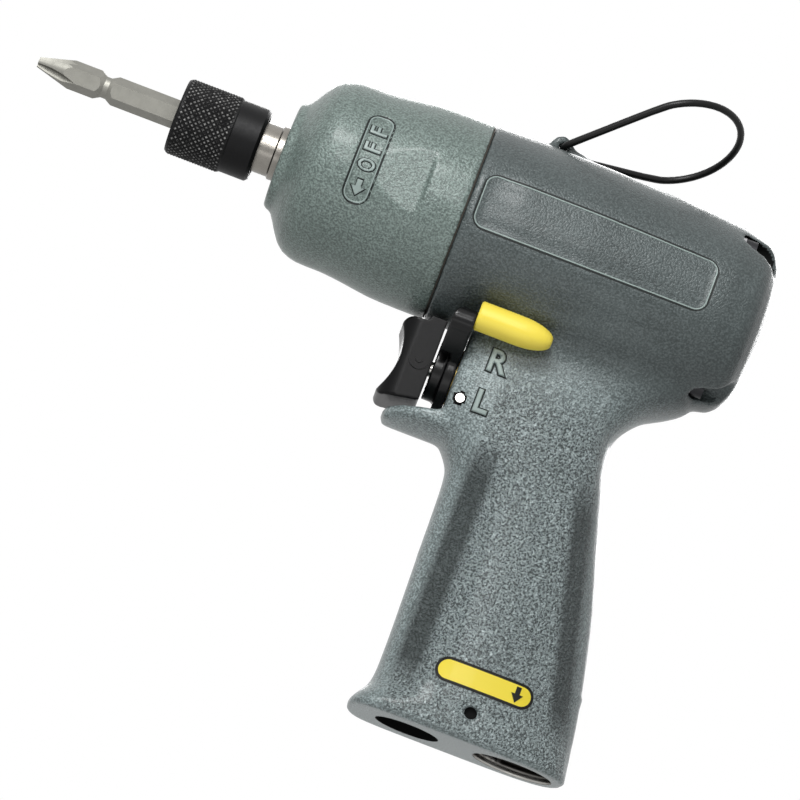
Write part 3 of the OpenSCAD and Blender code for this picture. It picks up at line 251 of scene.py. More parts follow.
def metal(name, tint, roughness, wear=0.1, rings=0.0, stain=0.25):
    """Cut or ground metal: fine marks, uneven polish and a little stain."""
    f = Finish(name)
    place = f.place()
    marks = f.noise(f.place((7, 0.6, 0.6)) if rings else place, 1.5, 3, 0.7)
    blotch = f.noise(place, 0.35, 3)
    dull = tuple(c * 0.55 for c in tint)
    return f.surface(
        Base_Color=f.mixed((blotch * stain).clipped(), tint, dull),
        Metallic=1.0,
        Roughness=roughness + wear * marks,
        Normal=f.relief(marks, 0.15 + rings, 0.03))


def plastic(name, tint, roughness, mottling=0.15, grain=2.0, relief=0.1, coat=0.0, shine=0.5):
    """Moulded or painted surface with a slightly uneven gloss."""
    f = Finish(name)
    place = f.place()
    peel = f.noise(place, grain, 2)
    cloud = f.noise(place, 0.12, 3)
    return f.surface(
        Base_Color=f.mixed((cloud * mottling).clipped(), tint, tuple(c * 0.6 for c in tint)),
        Roughness=roughness + 0.12 * peel,
        Specular_IOR_Level=shine,
        Coat_Weight=coat,
        Coat_Roughness=0.1,
        Normal=f.relief(peel, relief, 0.05))


KNURL_R = 9.5


def knurled_black(name):
    """Black oxide worn bright on the tips of the knurl, the bright tips also standing in for painted
    glints.
    """
    f = Finish(name)
    place = f.place()
    _, side, rise = f.axes(place)
    radius = f.node("Math", {"operation": "SQRT"}, {0: side * side + rise * rise})
    smear = f.noise(place, 1.1, 3)
    tips = radius.beyond(KNURL_R + 0.1, 1 / 8)
    # Wear on the knurl's tips, with painted glints there too
    wear_and_glints = tips * f.ramp(smear, (0.42, (0, 0, 0)), (0.6, (1, 1, 1)))
    return f.surface(
        Base_Color=f.mixed(wear_and_glints, screen(14, 14, 15), screen(150, 150, 148)),
        Metallic=0.35,
        Specular_IOR_Level=0.25,
        Roughness=0.36 + 0.2 * smear,
        Normal=f.relief(smear, 0.15, 0.05))


def threaded_mouth(name):
    """Bare metal of the inlet's thread, bright at the rim, with painted shade that deepens into the
    hole and painted glints at its front end.
    """
    f = Finish(name)
    place = f.place()
    along, _, height = f.axes(place)
    turns = f.node("Math", {"operation": "SINE"}, {0: height * 4.7})
    # Painted shade, growing deeper into the hole, in rings along the thread
    hole_shade = ((height + 121.5) / 1.5 + 0.12 * turns).clipped()
    # Painted glints on the front side of the mouth
    painted_glints = f.noise(place, 0.9, 3).beyond(0.36, 1 / 5)
    dark = hole_shade * (1 - along.below(129.5, 2.5) * painted_glints)
    return f.surface(
        Base_Color=f.mixed(dark, screen(196, 194, 189), screen(44, 41, 38)),
        Metallic=0.9,
        Roughness=0.3,
        Normal=f.relief(turns, 0.4, 0.12))


def laminate(name):
    """Resin-bonded cloth of the motor vanes, with its weave at the surface."""
    f = Finish(name)
    x, _, z = f.axes(f.place())
    weave = f.node("Math", {"operation": "SINE"}, {0: x * 9.0}) * f.node(
        "Math", {"operation": "SINE"}, {0: z * 9.0})
    return f.surface(
        Base_Color=f.mixed(
            (weave * 0.5 + 0.5).clipped(), screen(120, 76, 44), screen(168, 118, 70)),
        Roughness=0.55 + 0.1 * weave,
        Normal=f.relief(weave, 0.3, 0.04))


def sintered(name, tint, roughness=0.6):
    """Pressed powder metal or fibre, full of fine pores."""
    f = Finish(name)
    place = f.place()
    pores = f.pits(place, 2.2, 0.2)
    return f.surface(
        # Painted shade darkens the pores
        Base_Color=f.mixed((pores * 0.8).clipped(), tuple(c * 0.55 for c in tint), tint),
        Metallic=0.7,
        Roughness=roughness + 0.15 * pores,
        Normal=f.relief(pores, 0.5, 0.12))


FINISH = {
    "housing_paint": stove_paint(
        "housing_paint", screen(196, 210, 211), screen(124, 136, 136), screen(22, 28, 27), True),
    "case_paint": stove_paint(
        "case_paint", screen(158, 175, 169), screen(112, 126, 121), screen(48, 58, 55), False),
    # Paler paint on the raised letters, arrows and rims: a painted highlight on their raised faces
    "rubbed_paint": plastic("rubbed_paint", screen(152, 167, 163), 0.34, 0.3, 2.4, 0.25),
    # Painted shadow laid round the raised letters, arrows and rims
    "settled_paint": plastic("settled_paint", screen(26, 31, 30), 0.5, 0.2, 2.0, 0.1, 0.0, 0.25),
    "bore_shade": plastic("bore_shade", screen(12, 13, 13), 0.6, 0.3, 1.2, 0.2, 0.0, 0.1),
    "bit_steel": metal("bit_steel", screen(154, 153, 146), 0.42, 0.2, 0.0, 0.6),
    "bright_steel": metal("bright_steel", screen(158, 154, 147), 0.2, 0.16, 0.35, 0.9),
    "pin_steel": metal("pin_steel", screen(224, 222, 218), 0.14, 0.1),
    "tool_steel": metal("tool_steel", screen(132, 131, 134), 0.36, 0.2),
    "spring_steel": metal("spring_steel", screen(188, 188, 190), 0.26, 0.14),
    "cut_aluminium": metal("cut_aluminium", screen(202, 203, 205), 0.3, 0.16, 0.4),
    "bronze": metal("bronze", screen(198, 156, 92), 0.34, 0.16),
    "brass": metal("brass", screen(208, 182, 112), 0.26, 0.16, 0.3),
    "screw_black": metal("screw_black", screen(58, 58, 60), 0.36, 0.16),
    "sleeve_black": knurled_black("sleeve_black"),
    "inlet_mouth": threaded_mouth("inlet_mouth"),
    "trigger_black": plastic("trigger_black", screen(12, 12, 13), 0.24, 0.3, 1.6, 0.06, 0.0, 0.12),
    "lever_black": plastic("lever_black", screen(8, 8, 9), 0.18, 0.3, 0.9, 0.1, 0.0, 0.3),
    "wire_black": plastic("wire_black", screen(14, 14, 14), 0.3, 0.3, 1.0, 0.1, 0.0, 0.25),
    "knob_yellow": plastic("knob_yellow", screen(255, 232, 84), 0.34, 0.06, 0.8, 0.06, 0.1),
    "label_yellow": plastic("label_yellow", screen(240, 218, 56), 0.4, 0.05, 1.0, 0.03, 0.1),
    "print_black": plastic("print_black", screen(18, 18, 17), 0.42, 0.1, 1.0, 0.03, 0.0, 0.2),
    "rubber": plastic("rubber", screen(30, 30, 30), 0.62, 0.3, 2.6, 0.25),
    "gasket": plastic("gasket", screen(56, 52, 46), 0.8, 0.4, 3.0, 0.4),
    "vane_laminate": laminate("vane_laminate"),
    "muffler": sintered("muffler", screen(92, 88, 80), 0.75),
}

NODE_FINISH = {
    "screwdriver_bit": "bit_steel", "sleeve_spring": "spring_steel", "spring_washer": "screw_black",
    "sleeve_snap_ring": "spring_steel", "sleeve_stop_ring": "spring_steel",
    "detent_ball": "pin_steel", "anvil": "bright_steel", "anvil_bushing": "bronze",
    "nose_seal": "rubber", "hammer_cage": "tool_steel", "front_hammer": "tool_steel",
    "rear_hammer": "tool_steel", "hammer_pins": "pin_steel", "case_gasket": "gasket",
    "case_screws": "screw_black", "screw_washers": "spring_steel",
    "front_end_plate": "cut_aluminium", "front_bearing_outer": "bright_steel",
    "front_bearing_inner": "bright_steel", "front_bearing_balls": "pin_steel",
    "motor_cylinder": "tool_steel", "cylinder_pin": "pin_steel", "rotor": "tool_steel",
    "rotor_vanes": "vane_laminate", "rear_end_plate": "cut_aluminium",
    "rear_bearing_outer": "bright_steel", "rear_bearing_inner": "bright_steel",
    "rear_bearing_balls": "pin_steel", "trigger_stem": "pin_steel", "stem_guide": "bronze",
    "throttle_poppet": "brass", "poppet_seal": "rubber", "throttle_spring": "spring_steel",
    "reverse_valve": "brass", "valve_o_ring": "rubber", "lever_knob": "knob_yellow",
    "lever_ball": "pin_steel", "lever_spring": "spring_steel", "valve_cross_pin": "pin_steel",
    "inlet_bushing": "cut_aluminium", "inlet_screen": "brass", "inlet_o_ring": "rubber",
    "exhaust_muffler": "muffler", "foot_pin": "bore_shade",
}
for node, finish in NODE_FINISH.items():
    for place in NODES[node].material_slots:
        place.material = FINISH[finish]


# Making pieces

def piece(name, bm, finishes, body, crease=35, chosen=None):
    """A finished mesh object that rides on a body; edges sharper than the crease stay crisp.

    Where there is more than one finish, the chosen one is a face's place in their list.
    A piece made with no body is left unattached.
    """
    if isinstance(finishes, str):
        finishes = (finishes,)
    for face in bm.faces:
        face.smooth = True
        face.material_index = chosen(face) if chosen else 0
    for edge in bm.edges:
        edge.smooth = edge.calc_face_angle(math.pi) < math.radians(crease)
    mesh = bpy.data.meshes.new(name)
    bm.to_mesh(mesh)
    bm.free()
    for finish in finishes:
        mesh.materials.append(FINISH[finish])
    made = bpy.data.objects.new(name, mesh)
    bpy.context.scene.collection.objects.link(made)
    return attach(made, body) if body else made


def merged_copy(node):
    """A copy of a CAD node's mesh with its doubled corners merged."""
    bm = bmesh.new()
    bm.from_mesh(NODES[node].data)
    bmesh.ops.remove_doubles(bm, verts=bm.verts, dist=0.002 * MM)
    return bm


def after_modifiers(bm, *modifiers):
    """The mesh once modifiers, each a kind and its settings, have run on it."""
    mesh = bpy.data.meshes.new("at_work")
    bm.to_mesh(mesh)
    bm.free()
    worker = bpy.data.objects.new("at_work", mesh)
    bpy.context.scene.collection.objects.link(worker)
    for kind, settings in modifiers:
        modifier = worker.modifiers.new(kind.lower(), kind)
        for key, value in settings.items():
            setattr(modifier, key, value)
    done = bmesh.new()
    done.from_object(worker, bpy.context.evaluated_depsgraph_get())
    bpy.data.objects.remove(worker)
    bpy.data.meshes.remove(mesh)
    return done


def pin(bm, radius, start, end, segments=64):
    """Adds a closed cylinder between two points."""
    start, end = Vector(start) * MM, Vector(end) * MM
    turn = (end - start).to_track_quat("Z", "Y").to_matrix().to_4x4()
    bmesh.ops.create_cone(
        bm, cap_ends=True, cap_tris=False, segments=segments, radius1=radius * MM,
        radius2=radius * MM, depth=(end - start).length,
        matrix=Matrix.Translation((start + end) / 2) @ turn)


def moulded(bm, voxel, rounds):
    """The mesh with its edges softened as in a mould."""
    return after_modifiers(
        bm,
        ("REMESH", {"mode": "VOXEL", "voxel_size": voxel * MM, "adaptivity": 0}),
        ("SMOOTH", {"factor": 0.5, "iterations": rounds}))


def cast_shell(node, fillings, cuts, voxel, rounds):
    """A cast skin of a node: holes filled, edges softened, holes cut again.

    A filling or a cut is a cylinder, as pin takes it. The cuts come in groups, one after
    another, because cylinders of one group must not touch.
    """
    bm = merged_copy(node)
    for filling in fillings:
        pin(bm, *filling)
    soft = moulded(bm, voxel, rounds)
    for group in cuts:
        bm = bmesh.new()
        for cut in group:
            pin(bm, *cut)
        cutter_mesh = bpy.data.meshes.new("cutter")
        bm.to_mesh(cutter_mesh)
        bm.free()
        cutter = bpy.data.objects.new("cutter", cutter_mesh)
        bpy.context.scene.collection.objects.link(cutter)
        soft = after_modifiers(soft, ("BOOLEAN", {
            "operation": "DIFFERENCE", "object": cutter, "solver": "MANIFOLD"}))
        bpy.data.objects.remove(cutter)
        bpy.data.meshes.remove(cutter_mesh)
    return soft


# Motor housing, cast in one with the grip, the finger guard and the hanging lug
SCREW_ANGLES = (37.4, 158, 202, 322.6)
SCREW_PITCH = 20.2


def at_screw(angle, x):
    """A place on the axis of the case screw at an angle."""
    turn = math.radians(angle)
    return (x, -SCREW_PITCH * math.sin(turn), SCREW_PITCH * math.cos(turn))


VALVE_Z = -37
LEVER_BALL_Y = 8.4
CROSS_PIN_X, CROSS_PIN_Z = 88.4, -44.2
FOOT_PIN_X, FOOT_PIN_Z = 117.4, -115
INLET_X = 131.9
EXHAUST_X = 104.8
FOOT_Z = -122
BELOW_FOOT_Z = -123
housing_fillings = [
    (16.8, (73.4, 0, 0), (141, 0, 0)),
    (7.3, (85.5, 0, VALVE_Z), (110, 0, VALVE_Z)),
    (6.5, (100, 0, VALVE_Z), (120, 0, VALVE_Z)),
    (10.3, (INLET_X, 0, FOOT_Z), (INLET_X, 0, -100)),
    (8.3, (EXHAUST_X, 0, FOOT_Z), (EXHAUST_X, 0, -91)),
    (1.3, (85.5, LEVER_BALL_Y, VALVE_Z), (95, LEVER_BALL_Y, VALVE_Z)),
    (1.3, (CROSS_PIN_X, -12.5, CROSS_PIN_Z), (CROSS_PIN_X, 12.5, CROSS_PIN_Z)),
    (1.8, (FOOT_PIN_X, -12, FOOT_PIN_Z), (FOOT_PIN_X, 12, FOOT_PIN_Z)),
    *[(2.1, at_screw(a, 73.4), at_screw(a, 141)) for a in SCREW_ANGLES],
]
housing_cuts = [
    [
        (16.45, (72, 0, 0), (136.6, 0, 0), 128),
        (7.05, (80, 0, VALVE_Z), (107.5, 0, VALVE_Z), 64),
        (10.1, (INLET_X, 0, BELOW_FOOT_Z), (INLET_X, 0, -116), 96),
        (8.1, (EXHAUST_X, 0, BELOW_FOOT_Z), (EXHAUST_X, 0, -104), 96),
        (1.6, (CROSS_PIN_X, -20, CROSS_PIN_Z), (CROSS_PIN_X, -14.2, CROSS_PIN_Z), 40),
        (1.6, (FOOT_PIN_X, -20, FOOT_PIN_Z), (FOOT_PIN_X, 20, FOOT_PIN_Z), 40),
        (1.2, (90.6, -6, 26.5), (90.6, 6, 26.5), 40),
        *[(1.85, at_screw(a, 70), at_screw(a, 140), 32) for a in SCREW_ANGLES],
    ],
    [
        (12.0, (130, 0, 0), (140.4, 0, 0), 64),
        (1.05, (80, LEVER_BALL_Y, VALVE_Z), (91.5, LEVER_BALL_Y, VALVE_Z), 32),
        (8.2, (INLET_X, 0, BELOW_FOOT_Z), (INLET_X, 0, -101), 96),
        (7.4, (EXHAUST_X, 0, BELOW_FOOT_Z), (EXHAUST_X, 0, -92), 96),
        (1.1, (CROSS_PIN_X, -20, CROSS_PIN_Z), (CROSS_PIN_X, 20, CROSS_PIN_Z), 40),
        *[(3.5, at_screw(a, 139.4), at_screw(a, 156), 64) for a in SCREW_ANGLES],
    ],
]
housing_mesh = cast_shell("motor_housing", housing_fillings, housing_cuts, 0.7, 12)
housing_tree = BVHTree.FromBMesh(housing_mesh)


PAINTED, SHADED, MACHINED = range(3)


def housing_finish(face):
    """Paint outside, painted shade on the walls of the holes, in the screw recesses and round the
    cross pin, and bare metal in the mouth of the inlet.
    """
    middle = face.calc_center_median() / MM
    if middle.z < -90:
        for x, radius in ((INLET_X, 10.3), (EXHAUST_X, 8.3)):
            inward = (x - middle.x) * face.normal.x - middle.y * face.normal.y
            if (middle.z > FOOT_Z + 0.6 and math.hypot(middle.x - x, middle.y) < radius
                    and inward > -0.1):
                return MACHINED if x == INLET_X and middle.z < -115.6 else SHADED
        return PAINTED
    if math.hypot(middle.x - CROSS_PIN_X, middle.z - CROSS_PIN_Z) < 1.7:
        return SHADED
    recess = middle.x > 139.6 and middle.z > 0 and any(
        math.hypot(middle.y - y, middle.z - z) < 3.6
        for y, z in (at_screw(a, 0)[1:] for a in SCREW_ANGLES))
    return SHADED if recess else PAINTED


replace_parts(piece("cast_housing", housing_mesh, ("housing_paint", "bore_shade", "inlet_mouth"),
                  "housing", 50, housing_finish), "motor_housing")

# Hammer case
case_fillings = [
    (9.0, (26.6, 0, 0), (38, 0, 0)),
    (17.9, (37, 0, 0), (73, 0, 0)),
    *[(2.0, at_screw(a, 60), at_screw(a, 73)) for a in SCREW_ANGLES],
]
case_cuts = [
    [
        (17.5, (37, 0, 0), (80, 0, 0), 128),
        *[(1.75, at_screw(a, 61), at_screw(a, 80), 32) for a in SCREW_ANGLES],
    ],
    [(8.5, (20, 0, 0), (40, 0, 0), 96)],
]
case_mesh = cast_shell("hammer_case", case_fillings, case_cuts, 0.5, 2)
case_tree = BVHTree.FromBMesh(case_mesh)
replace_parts(piece("cast_hammer_case", case_mesh, "case_paint", "housing", 50), "hammer_case")


def softened(name, node, finish, body, voxel, rounds):
    """A small moulded piece with its edges rounded off."""
    bm = moulded(merged_copy(node), voxel, rounds)
    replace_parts(piece(name, bm, finish, body, 60), node)


softened("moulded_trigger", "trigger", "trigger_black", "trigger", 0.3, 5)
softened("painted_lever", "reverse_lever", "lever_black", "reverser", 0.3, 4)


def rounded_wire(name, node, finish, body):
    """A wire drawn as a round one from its few-sided tube."""
    bm = after_modifiers(merged_copy(node), ("SUBSURF", {"levels": 1, "render_levels": 1}))
    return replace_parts(piece(name, bm, finish, body, 80), node)


rounded_wire("coated_bail", "hanger_bail", "wire_black", "bail")
sleeve_spring = rounded_wire("wound_sleeve_spring", "sleeve_spring", "spring_steel", None)
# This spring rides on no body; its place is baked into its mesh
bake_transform(sleeve_spring)
rounded_wire("wound_throttle_spring", "throttle_spring", "spring_steel", "trigger")
rounded_wire("wound_lever_spring", "lever_spring", "spring_steel", "housing")


# Chuck sleeve with a diamond knurl
KNURL_STEPS = 42
KNURL_ROWS = 19
KNURL_FRONT = -0.5
KNURL_LENGTH = 13.6
KNURL_TIP_R = 9.79


def knurled_sleeve():
    """The sleeve turned from its outline, with every other corner of its grid pulled out."""
    bm = bmesh.new()
    rows = [(KNURL_FRONT + KNURL_LENGTH * k / KNURL_ROWS, KNURL_R) for k in range(KNURL_ROWS + 1)]
    front = [(-1.0, 8.6), (-1.0, 9.1)]
    rear = [(13.4, 9.3), (19.9, 9.3), (20.7, 8.5), (20.7, 7.8)]
    cavity = [(16.0, 7.7), (16.0, 6.45), (8.4, 6.45), (8.4, 8.3), (-0.7, 8.3)]
    points = front + rows + rear + cavity
    ring = [bm.verts.new((x * MM, 0, r * MM)) for x, r in points]
    edges = [bm.edges.new(pair) for pair in zip(ring, ring[1:] + ring[:1])]
    bmesh.ops.spin(bm, geom=ring + edges, axis=(1, 0, 0), cent=(0, 0, 0),
                   angle=2 * math.pi, steps=2 * KNURL_STEPS, use_merge=True)
    bmesh.ops.recalc_face_normals(bm, faces=bm.faces)
    step = math.pi / KNURL_STEPS
    low = []
    for vert in bm.verts:
        x, y, z = (c / MM for c in vert.co)
        row = (x - KNURL_FRONT) / KNURL_LENGTH * KNURL_ROWS
        if abs(math.hypot(y, z) - KNURL_R) > 0.05 or not -0.2 < row < KNURL_ROWS + 0.2:
            continue
        turn = round(math.atan2(y, z) / step)
        if (round(row) + turn) % 2:
            low.append(vert)
        elif 0 < round(row) < KNURL_ROWS:
            vert.co.yz = vert.co.yz * (KNURL_TIP_R / KNURL_R)
    bmesh.ops.connect_verts(bm, verts=low)
    return bm


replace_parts(piece("knurled_sleeve", knurled_sleeve(), "sleeve_black", "sleeve", 18), "chuck_sleeve")


# Marks that lie on the cast skins; a ray that ends deeper than HOLE_Y has gone into a hole
GRIP_SIDE_Y = -14
HOLE_Y = -8


def on_grip(bm, tree, lift):
    """Lays a mesh drawn in the XZ plane on the near side of the grip."""
    outside = Vector((0, -60 * MM, 0))
    for vert in bm.verts:
        near = Vector((vert.co.x, GRIP_SIDE_Y * MM, vert.co.z))
        spot = tree.ray_cast(near + outside, -outside.normalized())[0]
        if spot is None or spot.y > HOLE_Y * MM:
            spot = tree.find_nearest(near)[0]
        vert.co.y += spot.y - lift * MM
    return bm


def on_round(bm, tree, lift, radius, angle):
    """Wraps a mesh drawn in the XZ plane round the spindle, centred at an angle."""
    for vert in bm.verts:
        turn = math.radians(angle) + vert.co.z / (radius * MM)
        way = Vector((0, -math.cos(turn), math.sin(turn)))
        spot = tree.ray_cast(Vector((vert.co.x, 0, 0)) + 80 * MM * way, -way)[0]
        reach = math.hypot(spot.y, spot.z) + lift * MM - vert.co.y
        vert.co = Vector((vert.co.x, way.y * reach, way.z * reach))
    return bm


def raised(bm, thickness, rounding):
    """Gives a sheet in the XZ plane a thickness behind it and a rounded rim."""
    bmesh.ops.remove_doubles(bm, verts=bm.verts, dist=0.01 * MM)
    bmesh.ops.recalc_face_normals(bm, faces=bm.faces)
    if sum(face.normal.y for face in bm.faces) > 0:
        bmesh.ops.reverse_faces(bm, faces=bm.faces)
    body = bmesh.ops.extrude_face_region(bm, geom=bm.faces[:])
    moved = [g for g in body["geom"] if isinstance(g, bmesh.types.BMVert)]
    bmesh.ops.translate(bm, verts=moved, vec=(0, -thickness * MM, 0))
    front = set(moved)
    outline = [e for e in bm.edges if e.verts[0] in front and e.verts[1] in front
               and e.calc_face_angle(0) > 0.6]
    bmesh.ops.bevel(bm, geom=outline, offset=rounding * MM, offset_type="OFFSET", segments=2,
                    profile=0.5, affect="EDGES", material=-1)
    bmesh.ops.recalc_face_normals(bm, faces=bm.faces)
    return bm


FONT_SIZE_PER_HEIGHT = 1.4


def letters(word, height, x, z, turn=0, spread=0.0, squeeze=1.0):
    """Flat letters in the XZ plane, centred at a place; the spread fattens their strokes."""
    curve = bpy.data.curves.new("letters", "FONT")
    curve.body = word
    curve.size = height * MM * FONT_SIZE_PER_HEIGHT
    curve.align_x = "CENTER"
    curve.align_y = "CENTER"
    curve.offset = (0.03 * height + spread) * MM
    curve.resolution_u = 3
    drawn = bpy.data.objects.new("letters", curve)
    bm = bmesh.new()
    bpy.context.scene.collection.objects.link(drawn)
    bpy.context.view_layer.update()
    bm.from_mesh(drawn.to_mesh())
    drawn.to_mesh_clear()
    bpy.data.objects.remove(drawn)
    bpy.data.curves.remove(curve)
    stand = Matrix.Rotation(math.radians(90), 4, "X")
    bmesh.ops.transform(bm, verts=bm.verts,
                        matrix=Matrix.Translation((x * MM, 0, z * MM))
                        @ Matrix.Rotation(math.radians(turn), 4, "Y")
                        @ Matrix.Scale(squeeze, 4, (1, 0, 0)) @ stand)
    return bm


def rounded_outline(bm, length, width, corner, x, z):
    """Corner points of a rounded oblong in the XZ plane, with its straight sides cut up."""
    spots = []
    for quarter in range(4):
        u, v = ((1, 1), (-1, 1), (-1, -1), (1, -1))[quarter]
        middle = Vector((u * (length / 2 - corner), v * (width / 2 - corner)))
        for k in range(9):
            turn = math.radians(90 * quarter + 90 * k / 8)
            spots.append(middle + corner * Vector((math.cos(turn), math.sin(turn))))
    even = []
    for here, after in zip(spots, spots[1:] + spots[:1]):
        parts = max(1, round((after - here).length / 1.5))
        even += [here.lerp(after, k / parts) for k in range(parts)]
    return [bm.verts.new(((x + s.x) * MM, 0, (z + s.y) * MM)) for s in even]


def plate(length, width, corner, x, z):
    """A rounded oblong sheet, cut up so that it can follow a curved skin."""
    bm = bmesh.new()
    bm.faces.new(rounded_outline(bm, length, width, corner, x, z))
    return sliced(bm, 1.2)


def rim(length, width, corner, band, x, z):
    """A narrow band just outside a rounded oblong."""
    bm = bmesh.new()
    inner = rounded_outline(bm, length, width, corner, x, z)
    outer = []
    for k, vert in enumerate(inner):
        along = (inner[(k + 1) % len(inner)].co - inner[k - 1].co).normalized()
        outer.append(bm.verts.new(vert.co + Vector((along.z, 0, -along.x)) * band * MM))
    for k in range(len(inner)):
        bm.faces.new((inner[k - 1], inner[k], outer[k], outer[k - 1]))
    return bm


def sliced(bm, step):
    """Cuts a flat mesh in the XZ plane into strips, so that it can follow a curved skin."""
    for axis in (Vector((1, 0, 0)), Vector((0, 0, 1))):
        places = [axis.dot(v.co) for v in bm.verts]
        at = min(places) + step * MM
        while at < max(places):
            bmesh.ops.bisect_plane(bm, geom=bm.verts[:] + bm.edges[:] + bm.faces[:], dist=1e-7,
                                   plane_co=at * axis, plane_no=axis)
            at += step * MM
    return bm


def arrow(length, width, x, z, turn):
    """A flat arrow in the XZ plane, pointing along X before it is turned."""
    bm = bmesh.new()
    outline = [(-0.5, -0.2), (-0.05, -0.2), (-0.05, -0.5), (0.5, 0.0),
               (-0.05, 0.5), (-0.05, 0.2), (-0.5, 0.2)]
    bm.faces.new([bm.verts.new((a * length * MM, 0, b * width * MM)) for a, b in outline])
    bmesh.ops.transform(bm, verts=bm.verts, matrix=Matrix.Translation((x * MM, 0, z * MM))
                        @ Matrix.Rotation(math.radians(turn), 4, "Y"))
    return bm


def mark(name, bm, finish):
    """A mark that moves with the housing."""
    piece(name, bm, finish, "housing", 50)


# How far a flat edging of painted shadow stands off the skin, and how deep a raised mark is sunk into
# it
EDGING_LIFT, SUNK = 0.05, -0.1

# Cast letters beside the lever: each is a raised form with a painted highlight over a dark, wider
# edging of painted shadow
LETTER_HEIGHT = 5.6
cast_letters = (("cast_letter_r", "R", 93.8, -33.0), ("cast_letter_l", "L", 93.6, -43.6))
for name, letter, x, z in cast_letters:
    bm = sliced(letters(letter, LETTER_HEIGHT, x, z, 0, 0.42), 0.9)
    mark(name + "_edge", on_grip(bm, housing_tree, EDGING_LIFT), "settled_paint")
    bm = raised(sliced(letters(letter, LETTER_HEIGHT, x, z, 0, 0.05), 0.9), 0.9, 0.25)
    mark(name, on_grip(bm, housing_tree, SUNK), "rubbed_paint")

# Oiling label near the foot, in three printed layers
LABEL_X, LABEL_Z = 118, -107.0
for name, bm, lift, finish in (
        ("label_border", plate(24.8, 6.2, 3.1, LABEL_X, LABEL_Z), 0.10, "print_black"),
        ("label_face", plate(23.4, 4.8, 2.4, LABEL_X, LABEL_Z), 0.16, "label_yellow"),
        ("label_arrow", sliced(arrow(4.0, 3.1, 126.2, LABEL_Z, 90), 0.8), 0.22, "print_black")):
    mark(name, on_grip(bm, housing_tree, lift), finish)

# Badge of the hammer case and the bare panel of the barrel
BADGE_X, BADGE_R, BADGE_ANGLE = 47.2, 23.5, 3.7
BADGE_LETTER_HEIGHT = 4.2
badge_letters = (("O", -1.8, 0.68), ("F", 9.4, 0.95), ("F", 21.2, 0.95))
for number, (letter, angle, squeeze) in enumerate(badge_letters, 1):
    name = f"badge_letter_{number}"
    place = (BADGE_LETTER_HEIGHT, BADGE_X + 0.3, 0, -90)
    # Each badge letter, and then the arrow, is a raised form with a painted highlight over an edging
    # of painted shadow
    bm = sliced(letters(letter, *place, 0.3, squeeze), 0.7)
    mark(name + "_edge", on_round(bm, case_tree, EDGING_LIFT, BADGE_R, angle), "settled_paint")
    bm = raised(sliced(letters(letter, *place, 0.0, squeeze), 0.7), 0.55, 0.14)
    mark(name, on_round(bm, case_tree, SUNK, BADGE_R, angle), "rubbed_paint")
bm = sliced(arrow(4.8, 4.4, BADGE_X, 0, 90), 0.7)
mark("badge_arrow_edge", on_round(bm, case_tree, EDGING_LIFT, BADGE_R, -16.2), "settled_paint")
bm = raised(sliced(arrow(4.0, 3.4, BADGE_X, 0, 90), 0.7), 0.5, 0.14)
mark("badge_arrow", on_round(bm, case_tree, SUNK, BADGE_R, -16.3), "rubbed_paint")
# The badge and the panel each get an edging of painted shadow and a raised rim with a painted
# highlight
for name, size, x, radius, angle, tree in (
        ("badge", (6, 24, 3), BADGE_X, BADGE_R, BADGE_ANGLE, case_tree),
        ("panel", (60, 14, 3.2), 105.8, 25.5, 3, housing_tree)):
    bm = rim(*size, 0.5, x, 0)
    mark(name + "_edge", on_round(bm, tree, EDGING_LIFT, radius, angle), "settled_paint")
    bm = raised(rim(*(s - 0.7 for s in size), 0.35, x, 0), 0.3, 0.1)
    mark(name + "_rim", on_round(bm, tree, SUNK, radius, angle), "rubbed_paint")

# Plain boss on the near side of the trigger
boss_foot = Vector((75.9, -8.9, -37.6))
bm = bmesh.new()
for radius, height, segments in ((2.6, 0.4, 48), (1.0, 0.7, 32)):
    pin(bm, radius, boss_foot, boss_foot - Vector((0, height, 0)), segments)
piece("trigger_boss", bm, "trigger_black", "trigger", 30)


# Floor, light and camera; the floor's half width and the lamps' places are in metres
FLOOR_Z = -420
FLOOR_HALF = 6
LIT_AT = Vector((0.06, 0, -0.03))


def studio():
    """A white room round the tool and a pale floor that keeps its shadow."""
    f = Finish("pale_floor")
    cloud = f.noise(f.place(), 0.004)
    lit = f.principled(
        Base_Color=f.mixed(cloud * 0.1, (0.86, 0.86, 0.86), (0.8, 0.8, 0.8)), Roughness=0.7)
    pale = f.node("Emission", {}, {"Color": (0.9, 0.9, 0.9, 1), "Strength": 1.0})
    paint = f.show(f.node("MixShader", {}, {0: f.seen() * 0.8, 1: lit, 2: pale}))
    bm = bmesh.new()
    bmesh.ops.create_grid(bm, x_segments=1, y_segments=1, size=FLOOR_HALF,
                          matrix=Matrix.Translation(Vector((60, 0, FLOOR_Z)) * MM))
    mesh = bpy.data.meshes.new("floor")
    bm.to_mesh(mesh)
    bm.free()
    mesh.materials.append(paint)
    floor = bpy.data.objects.new("floor", mesh)
    bpy.context.scene.collection.objects.link(floor)

    f = Finish("white_room", bpy.data.worlds)
    dim = f.node("Background", {}, {"Color": (0.95, 0.97, 1.0, 1), "Strength": 0.09})
    white = f.node("Background", {}, {"Color": (1, 1, 1, 1), "Strength": 1.0})
    room = f.node("MixShader", {}, {0: f.seen(), 1: dim, 2: white})
    bpy.context.scene.world = f.show(room, "OutputWorld")


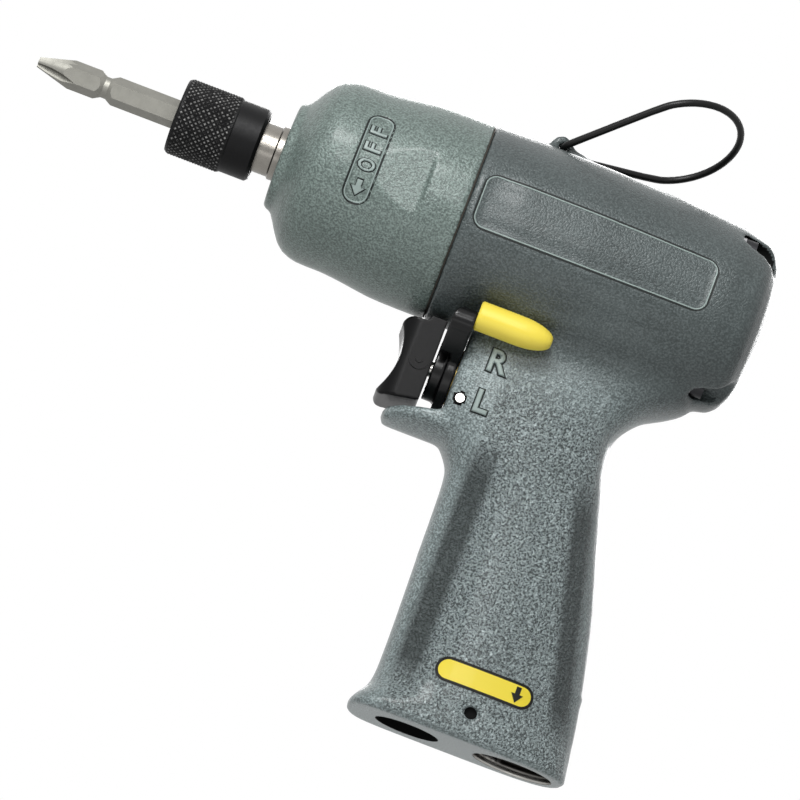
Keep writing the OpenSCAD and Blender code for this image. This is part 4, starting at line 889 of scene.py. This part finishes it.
def lamp(name, spot, size, power):
    """A rectangular lamp that shines on the middle of the tool; lengths in metres."""
    light = bpy.data.lights.new(name, "AREA")
    light.shape = "RECTANGLE"
    light.size, light.size_y = size
    light.energy = power
    made = bpy.data.objects.new(name, light)
    made.location = spot
    made.rotation_mode = "QUATERNION"
    made.rotation_quaternion = (LIT_AT - Vector(spot)).to_track_quat("-Z", "Y")
    bpy.context.scene.collection.objects.link(made)


# The camera as fitted to the photograph: turn, rise and roll about a point of the part
LOOK_AT = Vector((60, 0, -35)) * MM
TURN, RISE, ROLL = (math.radians(a) for a in (-0.611, -12.79, 21.07))
DISTANCE = 1177.7 * MM
PIXELS_PER_MM = 4.092
SEEN_AT = (359.3, 333.3)
FRAME_PIXELS = 800


def camera():
    """The camera, turned so that its axis passes through the middle of the photograph."""
    ahead = Vector((math.sin(TURN) * math.cos(RISE), math.cos(TURN) * math.cos(RISE),
                    -math.sin(RISE)))
    level = Vector((math.cos(TURN), -math.sin(TURN), 0))
    above = level.cross(ahead)
    right = math.cos(ROLL) * level + math.sin(ROLL) * above
    up = -math.sin(ROLL) * level + math.cos(ROLL) * above
    eye = LOOK_AT - ahead * DISTANCE
    half = FRAME_PIXELS / 2
    middle = (LOOK_AT + right * (half - SEEN_AT[0]) / PIXELS_PER_MM * MM
              - up * (half - SEEN_AT[1]) / PIXELS_PER_MM * MM)
    back = (eye - middle).normalized()
    side = up.cross(back).normalized()
    data = bpy.data.cameras.new("camera")
    data.sensor_width = 36
    data.lens = PIXELS_PER_MM * DISTANCE / MM / FRAME_PIXELS * data.sensor_width
    data.clip_start, data.clip_end = 0.05, 20
    made = bpy.data.objects.new("camera", data)
    facing = Matrix((side, back.cross(side), back)).transposed().to_4x4()
    made.matrix_world = Matrix.Translation(eye) @ facing
    bpy.context.scene.collection.objects.link(made)
    bpy.context.scene.camera = made


studio()
camera()
lamp("key", (-0.16, -0.62, 0.42), (0.4, 0.2), 5.0)
lamp("front", (-0.02, -1.05, 0.22), (0.3, 0.25), 1.8)
lamp("back", (0.2, 0.85, 0.34), (0.6, 0.4), 4.2)
lamp("below", (0.0, -0.5, -0.38), (0.5, 0.2), 0.3)
bpy.context.scene.view_settings.view_transform = "Standard"
